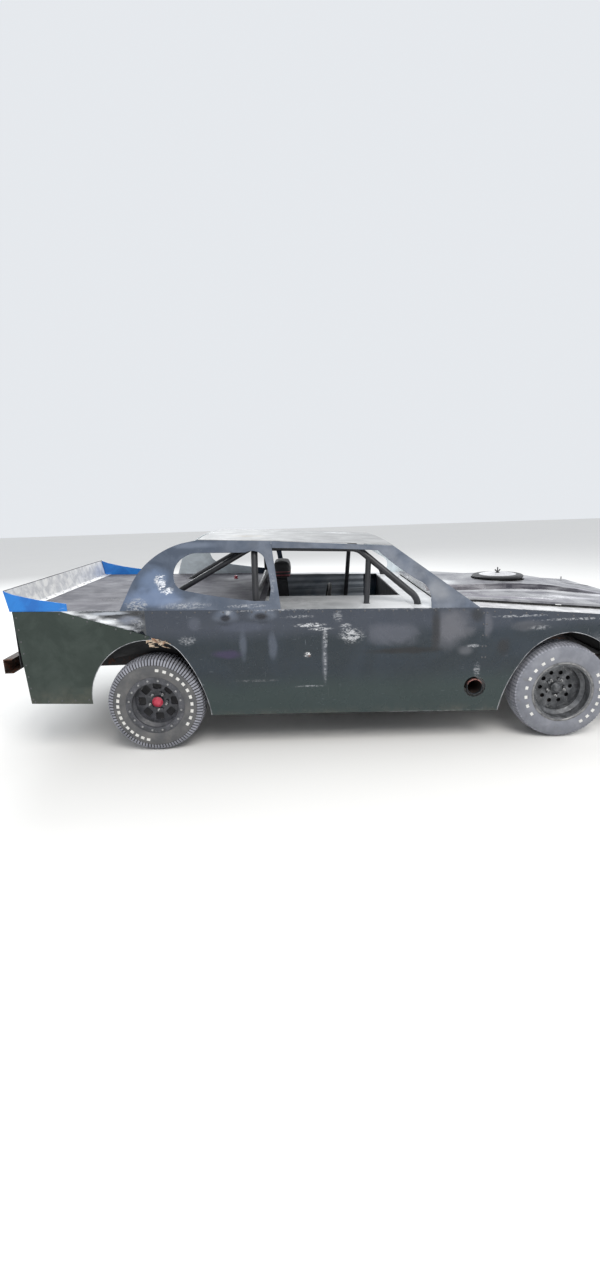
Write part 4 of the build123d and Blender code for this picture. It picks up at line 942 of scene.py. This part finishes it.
def hoodHeight(x, y, shape):
    rows = shape["stations"]
    for (x0, b0, u0), (x1, b1, u1) in zip(rows, rows[1:]):
        if x <= x1:
            break
    share = (x - x0) / (x1 - x0)
    base, bulge = b0 + (b1 - b0) * share, u0 + (u1 - u0) * share
    foot = shape["bulgeHalf"] + shape["bulgeSlope"]
    reach = abs(y)
    if reach < foot:
        height = base + bulge * (1 - blendShare(shape["bulgeHalf"] - 2, foot, reach))
    else:
        edge = topLineZ(x) + shape["rise"]
        height = base + (edge - base) * (reach - foot) / (shape["half"] - foot)
    fromEdge = min(x - shape["rear"], shape["front"] - x, shape["half"] - reach)
    fromHole = abs(math.hypot(x - shape["holeX"], y) - shape["holeRadius"])
    calm = blendShare(0, shape["calmEdge"], fromEdge) * blendShare(0, shape["calmHole"], fromHole)
    seat = Vector((x * shape["dentX"], y * shape["dentY"], 3.0))
    dent = abs(noise.noise(seat)) + 0.5 * abs(noise.noise(seat * 2.7))
    return height - shape["dent"] * calm * dent * 1.6


def gridLines(low, high, cell, fixed):
    # Even lines with the nearest ones moved onto the fixed places
    count = round((high - low) / cell)
    lines = [low + (high - low) * i / count for i in range(count + 1)]
    for place in fixed:
        nearest = min(range(len(lines)), key=lambda i: abs(lines[i] - place))
        lines[nearest] = place
    return sorted(set(lines))


def hoodForm(form, shape):
    cell, half, holeX, holeRadius = (shape[name] for name in ("cell", "half", "holeX", "holeRadius"))
    crease = (shape["bulgeHalf"] - 2, shape["bulgeHalf"] + shape["bulgeSlope"])
    across = [s * v for s in (-1, 1) for v in (shape["pinY"], *crease)]
    xs = gridLines(shape["rear"], shape["front"], cell, shape["pinX"])
    ys = gridLines(-half, half, cell, across)
    # Each hole: its middle, its radius and how near its middle a grid corner is left out
    holes = [(holeX, 0, holeRadius, holeRadius)]
    holes += [(x, s * shape["pinY"], shape["pinHole"], 1) for x in shape["pinX"] for s in (-1, 1)]
    spots = {}

    def spotFor(i, j):
        if (i, j) not in spots:
            x, y = xs[i], ys[j]
            for hx, hy, radius, _ in holes:
                away = math.hypot(x - hx, y - hy)
                if 1 < away < radius + cell * 0.85:
                    x, y = hx + (x - hx) * radius / away, hy + (y - hy) * radius / away
            spots[(i, j)] = form.verts.new(at(x, y, hoodHeight(x, y, shape)))
        return spots[(i, j)]

    for i in range(len(xs) - 1):
        for j in range(len(ys) - 1):
            corners = [(i, j), (i + 1, j), (i + 1, j + 1), (i, j + 1)]
            if not any(math.hypot(xs[a] - hx, ys[b] - hy) < near for hx, hy, _, near in holes for a, b in corners):
                form.faces.new([spotFor(a, b) for a, b in corners])
    for vert in [v for v in form.verts if v.is_boundary]:
        x, y = vert.co.x * 1000 + car["midX"], vert.co.y * 1000
        away = math.hypot(x - holeX, y)
        if away < holeRadius + 2 * cell:
            x, y = holeX + (x - holeX) * holeRadius / away, y * holeRadius / away
            vert.co = at(x, y, hoodHeight(x, y, shape))
    edges = [e for e in form.edges if e.is_boundary]
    rims = [e for e in edges if abs(abs(e.verts[0].co.y + e.verts[1].co.y) / 2 - half / 1000) < 0.001]
    drop = bmesh.ops.extrude_edge_only(form, edges=rims)["geom"]
    for vert in [g for g in drop if isinstance(g, bmesh.types.BMVert)]:
        vert.co.z -= shape["fold"] / 1000


def hoodMesh(shape):
    # The sheet given its thickness on the underside
    whole = linked("hoodShell", meshFrom("hoodSheet", lambda form: hoodForm(form, shape)))
    wall = whole.modifiers.new("wall", "SOLIDIFY")
    wall.thickness = shape["thick"] / 1000
    wall.offset = -1
    mesh = bakeModifiers(whole)
    bpy.data.objects.remove(whole)
    return mesh


def pinPlateForm(form, shape):
    for x in shape["pinX"]:
        for y in (-shape["pinY"], shape["pinY"]):
            rings = []
            for radius, lift in shape["plate"]:
                points = [(x + radius * c, y + radius * s) for c, s in circle(shape["plateSteps"])]
                rings.append([at(a, b, hoodHeight(a, b, shape) + lift) for a, b in points])
            stitch(form, rings, True)


addPiece("dentedHood", hoodMesh(hoodShape), "hood", "hood", ["hood"], 50)
makePiece("hoodPinPlates", pinPlateForm, hoodShape, "pin", "hood")
print("hood built")

# Air cleaner with a pleated element between its pan and lid. Profiles are (radius, height); an edge's
# radii are counted from the outer radius, heights from the pan's floor or the element's top
cleaner = {
    "x": 2600, "pan": 902, "radius": 196, "steps": 96, "pleats": 96, "low": 946, "high": 996, "inner": 176,
    "outer": 187, "core": 150,
    "lidEdge": [(-12, 1), (-6, -6), (0, -6), (2, -2), (1, 6), (-6, 11), (-18, 14), (-26, 12)],
    "lidTop": [(130, 17), (120, 21), (112, 21), (104, 18), (60, 20), (50, 25), (26, 26), (18, 24), (4, 24)],
    "panEdge": [(-14, 26), (-4, 32), (0, 36), (0, 42), (-4, 44), (-10, 43), (-16, 36)],
    "nutFoot": 24, "nut": (0.016, 0.007, 24, 0.4), "collar": (0.009, 0.012, 16, 0.4), "stud": 0.0045,
    "studTop": 0.044, "wingHalf": 0.0015,
    "wing": [(8, 2), (20, 10), (24, 19), (18, 22), (9, 14)],
}
lidLook = {
    "base": (0.50, 0.50, 0.52), "tone": (0.72, 0.72, 0.73), "rough": 0.38, "metal": 0.15, "toneSize": 0.12,
    "grime": (0.16, 0.14, 0.17), "grimeShare": 0.5, "rim": (0.012, 0.012, 0.014), "paleRadius": 146,
}
elementLook = {"base": (0.02, 0.02, 0.022), "tone": (0.05, 0.048, 0.045), "rough": 0.8, "grain": 0.5}
paints["element"] = plainFinish("dustyElement", elementLook)


def pleatForm(form, look):
    rings = []
    for i, (c, s) in enumerate(circle(look["pleats"] * 2)):
        radius = look["outer"] if i % 2 else look["inner"]
        low, high = look["low"], look["high"]
        section = [(radius, low), (radius, high), (look["core"], high), (look["core"], low)]
        rings.append([at(look["x"] + r * c, r * s, z) for r, z in section])
    stitch(form, rings, True)


def panForm(form, look):
    edge = [(look["radius"] + out, look["pan"] + lift) for out, lift in look["panEdge"]]
    profile = [(40, look["pan"]), (70, look["pan"]), *edge, (40, look["pan"] + 12)]
    turned(form, profile, look["x"], look["steps"])


def lidForm(form, look):
    high = look["high"]
    edge = [(look["radius"] + out, high + lift) for out, lift in look["lidEdge"]]
    top = [(radius, high + lift) for radius, lift in look["lidTop"]]
    turned(form, [(4, high + 1), *edge, *top], look["x"], look["steps"])


def nutForm(form, look):
    middle = at(look["x"], 0, look["high"] + look["nutFoot"])
    roundHead(form, middle, up, *look["nut"])
    roundHead(form, middle + up * 0.007, up, *look["collar"])
    for side in (-1, 1):
        stitch(form, [
            [middle + Vector((side * a / 1000, y, (7 + b) / 1000)) for a, b in look["wing"]]
            for y in (-look["wingHalf"], look["wingHalf"])
        ])
    tubeAlong(form, [middle + up * 0.016, middle + Vector((0.0005, 0, look["studTop"]))], look["stud"], 12)


def lidMaterial(look):
    # Pale worn centre inside a dark rim
    lid = Finish("paleLidPaint", look["rough"], look["metal"])
    grime = lid.between(lid.grain(0.025, 7, 0.7, warp=0.8), 0.52, 0.68)
    pale = lid.over(lid.twoTone(look, look["toneSize"]), look["grime"], grime, look["grimeShare"])
    inside = lid.spot((cleaner["x"], 0, 1000), (look["paleRadius"], look["paleRadius"], 400), 0.05)
    lid.set("Base Color", lid.blend(inside, look["rim"], pale))
    lid.bump(lid.grain(0.05, 3), 0.3, 0.003)
    return lid.material


paints["lid"] = lidMaterial(lidLook)
for name, build, paint, replaced in (
    ("cleanerPan", panForm, "cleaner", ()), ("pleatedElement", pleatForm, "element", ()),
    ("cleanerLid", lidForm, "lid", ["air_cleaner"]), ("cleanerNut", nutForm, "cleaner", ()),
):
    makePiece(name, build, cleaner, paint, "chassis", replaced, 35)
print("air cleaner built")


# Bright worn edges round the wheel arches: arcs of start, middle, end and distance out
arches = {
    "radius": 0.0023, "steps": 22,
    "runs": [
        ((376, 247), (316, 480), (197, 696), 948.6), ((197, 696), (104, 765), (-11, 784), 948.6),
        ((-11, 784), (-298, 665), (-416, 356), 951.6), ((2310, 214), (2364, 390), (2458, 560), 948.6),
        ((2458, 560), (2578, 682), (2765, 743), 948.6), ((2765, 743), (2950, 682), (3072, 560), 948.6),
        ((3072, 560), (3166, 390), (3220, 262), 948.6),
    ],
}


def archForm(form, side, look):
    for start, via, end, y in look["runs"]:
        rows = arcRows(start, via, end, look["steps"])
        tubeAlong(form, [at(x, side * y, z) for x, z in rows], look["radius"])


edgeLook = {
    "base": (0.55, 0.56, 0.58), "tone": (0.10, 0.10, 0.11), "rough": 0.35, "metal": 0.5, "toneSize": 0.06,
    "grime": (0.05, 0.05, 0.05), "grimeShare": 0.6,
}
paints["edge"] = plainFinish("wornEdgeSteel", edgeLook)
makePiece("archEdges", bothSides(archForm), arches, "edge")

# Rivet rows: start, end, count, distance out from the middle
rivets = {
    "head": (0.006, 0.0022, 10, 0.8),
    "rows": [
        ((40, 962), (2150, 912), 24, 950), ((2190, 890), (2190, 590), 5, 950), ((2212, 890), (2212, 590), 5, 950),
        ((-560, 975), (-300, 892), 4, 953), ((-300, 892), (-20, 806), 4, 953), ((-840, 960), (-812, 400), 8, 953),
        ((-800, 384), (-440, 384), 5, 953), ((2260, 896), (3500, 790), 13, 950),
    ],
}


def rivetForm(form, side, look):
    for (x0, z0), (x1, z1), count, y in look["rows"]:
        for i in range(count):
            share = i / (count - 1)
            head = at(x0 + (x1 - x0) * share, side * y, z0 + (z1 - z0) * share)
            roundHead(form, head, Vector((0, side, 0)), *look["head"])


rivetLook = {"base": (0.09, 0.09, 0.095), "rough": 0.4, "metal": 0.5, "bloomFrom": 0.56}
paints["rivet"] = rustySteel("greyRivets", rivetLook)
makePiece("panelRivets", bothSides(rivetForm), rivets, "rivet")

# Torn rusty metal on the right-hand rear arch: ranges that each shred is drawn from
tear = {
    "rear": 8, "front": 118, "z": 778, "count": 17, "seed": 5, "length": (26, 66), "width": (8, 22),
    "spread": (-40, 14), "slope": (-0.35, 0.25), "curl": (2, 7), "steps": 6, "out": 951.5,
}


def tearForm(form, look):
    draw = random.Random(look["seed"])
    for i in range(look["count"]):
        x = look["rear"] + (look["front"] - look["rear"]) * (i + draw.random() * 0.6) / look["count"]
        z = look["z"] - abs(x) * 0.06 + draw.uniform(*look["spread"])
        length, width, slope, curl = (draw.uniform(*look[name]) for name in ("length", "width", "slope", "curl"))
        rings = []
        for step in range(look["steps"] + 1):
            share = step / look["steps"]
            px = x + length * (share - 0.5)
            pz = z + slope * length * (share - 0.5) + draw.uniform(-2, 2)
            out = look["out"] + curl * share * share + draw.uniform(0, 1)
            half = width / 2 * (1 - share * 0.75) * draw.uniform(0.7, 1.1)
            section = [(out, pz - half), (out + 1.2, pz - half), (out + 2.2, pz + half), (out + 0.8, pz + half)]
            rings.append([at(px, -y, edge) for y, edge in section])
        stitch(form, rings)


tearLook = {
    "base": (0.50, 0.40, 0.30), "rough": 0.6, "bloomFrom": 0.5, "rust": (0.32, 0.13, 0.06),
    "fleck": (0.7, 0.66, 0.6),
}
paints["tear"] = rustySteel("tornRustyMetal", tearLook)
makePiece("tornArchMetal", tearForm, tear, "tear")

# Spoiler: dark edge strip and flange bolts
spoilerTrim = {
    "half": 940, "rear": -900.5, "top": 1136, "radius": 0.0032, "sideRadius": 0.003, "footX": -878, "footZ": 1002,
    "flangeX": -848, "flangeHalf": 902.4, "bolts": 13, "bolt": (0.008, 0.005, 6, 0.3),
}


def spoilerEdgeForm(form, look):
    tubeAlong(form, [at(look["rear"], y, look["top"]) for y in (-look["half"], 0, look["half"])], look["radius"])
    for y in (-look["half"], look["half"]):
        ends = [at(look["footX"], y, look["footZ"]), at(look["rear"], y, look["top"])]
        tubeAlong(form, ends, look["sideRadius"])


def flangeBoltForm(form, look):
    for i in range(look["bolts"]):
        y = look["flangeHalf"] * (2 * i / (look["bolts"] - 1) - 1)
        roundHead(form, at(look["flangeX"], y, sillZ(look["flangeX"]) + 3), up, *look["bolt"])


makePiece("spoilerEdge", spoilerEdgeForm, spoilerTrim, "cage")
makePiece("spoilerBolts", flangeBoltForm, spoilerTrim, "bolt")

# Heat-stained lip on each exhaust outlet
outlet = {
    "x": 2150, "z": 387, "end": 952, "steps": 48,
    "lip": [(-16, 48.6), (1.6, 48.6), (2.4, 50.1), (2.2, 52.9), (1, 53.5), (-16, 52.9)],
}


def outletForm(form, side, look):
    pipe = {"centre": at(look["x"], 0, look["z"]), "side": side}
    spinRing(form, [(look["end"] + out, radius) for out, radius in look["lip"]], pipe, look["steps"])


outletLook = {"dark": (0.016, 0.021, 0.024), "heat": (0.44, 0.20, 0.17), "rough": 0.5, "from": 398, "to": 428}


def outletMaterial(look):
    # Dark pipe end, pink with heat on its upper edge
    pipe = Finish("heatStainedLip", look["rough"], 0.3)
    blotch = pipe.between(pipe.grain(0.012, 5), 0.36, 0.56)
    pipe.set("Base Color", pipe.over(look["dark"], look["heat"], pipe.height(look["from"], look["to"]), blotch))
    pipe.bump(pipe.grain(0.004, 5), 0.4, 0.001)
    return pipe.material


paints["outlet"] = outletMaterial(outletLook)
makePiece("exhaustLips", bothSides(outletForm), outlet, "outlet")

# Coil springs in place of the CAD sleeves
coil = {"y": 508, "low": 390, "high": 505, "radius": 43.5, "wire": 6.2, "turns": 5, "steps": 20}


def coilForm(form, side, look):
    points = []
    steps = look["turns"] * look["steps"]
    low, high = look["low"] + look["wire"], look["high"] - look["wire"]
    for i in range(steps + 1):
        turn = 2 * math.pi * look["turns"] * i / steps
        share = blendShare(0.06, 0.94, i / steps)
        z = low + (high - low) * (0.35 * share + 0.65 * i / steps)
        points.append(at(look["radius"] * math.cos(turn), side * look["y"] + look["radius"] * math.sin(turn), z))
    tubeAlong(form, points, look["wire"] / 1000)


makePiece("coilSprings", bothSides(coilForm), coil, "spring", replaced=["rear_springs"])
print("trim built")

# Red knob on the rear deck: a round foot and a bulb of (share of the radius, share of the height)
knob = {
    "x": 428, "y": 576, "radius": 0.019, "height": 0.026, "foot": (0.006, 24, 0.4), "steps": 20,
    "bulb": [(0.55, 0.2), (0.8, 0.45), (0.8, 0.7), (0.6, 0.92), (0.2, 1.0)],
}


def knobForm(form, look):
    foot = at(look["x"], look["y"], sillZ(look["x"]) + 0.3)
    roundHead(form, foot, up, look["radius"], *look["foot"])
    rings = []
    for wide, lift in look["bulb"]:
        reach = look["radius"] * wide
        rings.append([foot + Vector((reach * c, reach * s, look["height"] * lift)) for c, s in circle(look["steps"])])
    stitch(form, rings)


makePiece("redDeckKnob", knobForm, knob, "cap")

# Padded head support, inflated as cloth, with its red band
pad = {
    "low": (790, 172, 1012), "high": (932, 528, 1146), "voxel": 0.006, "pressure": 4.0, "frames": 20, "cap": 0.008,
    "shrink": 0.004, "leanX": 0.012, "leanY": 0.035, "bevel": 0.009,
}
vinylLook = {
    "base": (0.009, 0.009, 0.011), "tone": (0.018, 0.018, 0.021), "rough": 0.55, "sheen": 0.2, "grain": 0.5,
    "toneSize": 0.05, "grainSize": 0.0018, "grime": (0.12, 0.12, 0.125), "grimeShare": 0.35,
    "band": (0.20, 0.035, 0.045), "faded": (0.34, 0.12, 0.13), "below": (0.035, 0.012, 0.016),
    "bands": [(1026, 1040), (1058, 1066)],
}


def padMaterial(look):
    # Black vinyl with a faded red band round its lower half
    vinyl = Finish("headrestVinyl", look["rough"], sheen=look["sheen"])
    faded = vinyl.blend(vinyl.between(vinyl.grain(0.02, 6), 0.3, 0.7), look["band"], look["faded"])
    colour = vinyl.blend(vinyl.height(1040, 1036), vinyl.twoTone(look, look["toneSize"]), look["below"])
    for low, high in look["bands"]:
        colour = vinyl.over(colour, faded, vinyl.height(low, low + 2), vinyl.height(high, high - 2))
    grime = vinyl.between(vinyl.grain(0.02, 7, 0.7), 0.56, 0.72)
    vinyl.set("Base Color", vinyl.over(colour, look["grime"], grime, look["grimeShare"]))
    vinyl.bump(vinyl.grain(look["grainSize"], 4), look["grain"], 0.0006)
    return vinyl.material


def padBlock(form, look):
    # A bevelled block that leans in towards its top
    low, high = at(*look["low"]), at(*look["high"])
    middle = (low + high) / 2
    bmesh.ops.create_cube(form, size=1)
    for vert in form.verts:
        vert.co = middle + Vector([c * (s - 2 * look["shrink"]) for c, s in zip(vert.co, high - low)])
    for vert in [v for v in form.verts if v.co.z > middle.z]:
        vert.co.x -= look["leanX"] if vert.co.x > middle.x else 0
        vert.co.y -= look["leanY"] if vert.co.y > middle.y else 0
    bmesh.ops.bevel(form, geom=form.edges[:], offset=look["bevel"], segments=3, affect="EDGES")


def padMesh(look):
    shape = linked("headrestPad", meshFrom("headrestPad", lambda form: padBlock(form, look)))
    remesh = shape.modifiers.new("even", "REMESH")
    remesh.mode = "VOXEL"
    remesh.voxel_size = look["voxel"]
    mesh = bakeModifiers(shape)
    start = [v.co.copy() for v in mesh.vertices]
    cloth = shape.modifiers.new("cloth", "CLOTH")
    cloth.settings.use_pressure = True
    cloth.settings.uniform_pressure_force = look["pressure"]
    cloth.settings.effector_weights.gravity = 0
    for step in range(1, look["frames"] + 1):
        bpy.context.scene.frame_set(step)
    mesh = bakeModifiers(shape)
    bpy.context.scene.frame_set(1)
    for vert, before in zip(mesh.vertices, start):
        move = vert.co - before
        if move.length > look["cap"]:
            vert.co = before + move * (look["cap"] / move.length)
        vert.co.z = max(vert.co.z, at(*look["low"]).z)
    shape.modifiers.new("soft", "SUBSURF").levels = 1
    mesh = bakeModifiers(shape)
    bpy.data.objects.remove(shape)
    return mesh


paints["vinyl"] = padMaterial(vinylLook)
headPad = addPiece("headrestPad", padMesh(pad), "vinyl", "chassis", ["headrest"], 80)
print("headrest built")

# Dark sheets inside the rear wheel wells
well = {
    "y": 690, "rear": -330, "front": 240, "low": 596, "rise": 34, "thick": 1.6, "columns": 24, "rows": 14,
    "bead": 3.5, "beadPitch": 60, "under": 8,
}


def wellForm(form, side, look):
    middle, half = (look["rear"] + look["front"]) / 2, (look["front"] - look["rear"]) / 2

    def place(x, share, lift):
        low = look["low"] + look["rise"] * (1 - ((x - middle) / half) ** 2)
        z = low + (sillZ(x) - look["under"] - low) * share
        bead = look["bead"] * max(0, math.sin((z - low) * math.pi / look["beadPitch"])) ** 3
        return at(x, side * (look["y"] - lift + bead), z)

    foldedSheet(form, look, place)


makePiece("wheelWellSheets", bothSides(wellForm), well, "inner")

# Black strips under the hood's side edges, standing in for the shade in the gap above the fender tops: the section's
# corners are (share of half, height)
strip = {
    "y": 739, "rear": 1955, "front": 3485, "half": 2.5, "steps": 40,
    "section": [(-1, 0.2), (1, 0.2), (0.6, 11.5), (-0.6, 11.5)],
}


def stripForm(form, side, look):
    rings = []
    for i in range(look["steps"] + 1):
        x = look["rear"] + (look["front"] - look["rear"]) * i / look["steps"]
        rings.append([at(x, side * look["y"] + a * look["half"], topLineZ(x) + b) for a, b in look["section"]])
    stitch(form, rings)


makePiece("hoodGapShadeStrips", bothSides(stripForm), strip, "grip")

# Turned-down rear edge of the hood, a few millimetres clear of the cowl sheet
flange = {"rear": 1945.4, "thick": 2.4, "half": 734, "low": 937, "steps": 98, "hem": 3}


def flangeForm(form, look):
    rear, low, thick = look["rear"], look["low"], look["thick"]
    front = rear + thick
    foot = [
        (rear, low + 1), (rear + 0.6, low), (front + look["hem"], low), (front + look["hem"], low + thick),
        (front, low + thick),
    ]
    rings = []
    for i in range(look["steps"] + 1):
        y = look["half"] * (2 * i / look["steps"] - 1)
        high = hoodHeight(rear, y, hoodShape) - 0.6
        rings.append([at(x, y, z) for x, z in [(rear, high), *foot, (front, high)]])
    stitch(form, rings)


makePiece("hoodRearEdge", flangeForm, flange, "dash", "hood")
print("wells lined")

# Floor, lights and camera
stageLook = {
    "floor": (0.80, 0.79, 0.77), "half": 30.0, "sky": (0.93, 0.96, 1.0, 1), "skyPower": 0.85,
    "lights": [
        ("keyLight", (1.5, -6.0, 7.5), (0, 0, 0.5), 5.0, 520, (1, 0.98, 0.95)),
        ("backLight", (-3.0, 7.0, 6.0), (0, 0, 0.6), 6.0, 620, (0.95, 0.98, 1)),
        ("noseLight", (8.0, 1.0, 4.5), (0, 0, 0.5), 4.0, 240, (1, 1, 1)),
    ],
}
shot = {"place": (-0.312, -4.536, 1.639), "down": 14.28, "roll": 1.92, "lens": 15.757, "sensor": 36}


def buildStage(look):
    mesh = bpy.data.meshes.new("studioFloor")
    corners = [(x * look["half"], y * look["half"], 0) for x, y in ((-1, -1), (1, -1), (1, 1), (-1, 1))]
    mesh.from_pydata(corners, [], [(0, 1, 2, 3)])
    floor = linked("studioFloor", mesh)
    skin = Finish("studioFloorPaint", 0.85)
    skin.set("Base Color", skin.blend(skin.grain(1.5, 2), look["floor"], tuple(c * 0.97 for c in look["floor"])))
    mesh.materials.append(skin.material)
    world = bpy.data.worlds.new("studioSky")
    bpy.context.scene.world = world
    world.use_nodes = True
    world.node_tree.nodes["Background"].inputs["Color"].default_value = look["sky"]
    world.node_tree.nodes["Background"].inputs["Strength"].default_value = look["skyPower"]
    for name, place, aim, size, power, tint in look["lights"]:
        lamp = bpy.data.lights.new(name, "AREA")
        lamp.energy, lamp.size, lamp.color = power, size, tint
        lit = linked(name, lamp)
        lit.location = place
        lit.rotation_euler = (Vector(aim) - Vector(place)).to_track_quat("-Z", "Y").to_euler()


def addCamera(shot):
    lens = bpy.data.cameras.new("shotCamera")
    lens.sensor_fit = "AUTO"
    lens.sensor_width, lens.lens = shot["sensor"], shot["lens"]
    camera = linked("shotCamera", lens)
    tilt = Matrix.Rotation(math.radians(90 - shot["down"]), 4, "X")
    roll = Matrix.Rotation(math.radians(-shot["roll"]), 4, "Z")
    camera.matrix_world = Matrix.Translation(shot["place"]) @ tilt @ roll
    bpy.context.scene.camera = camera


buildStage(stageLook)
addCamera(shot)
bpy.context.scene.view_settings.view_transform = "Standard"
print("stage set")
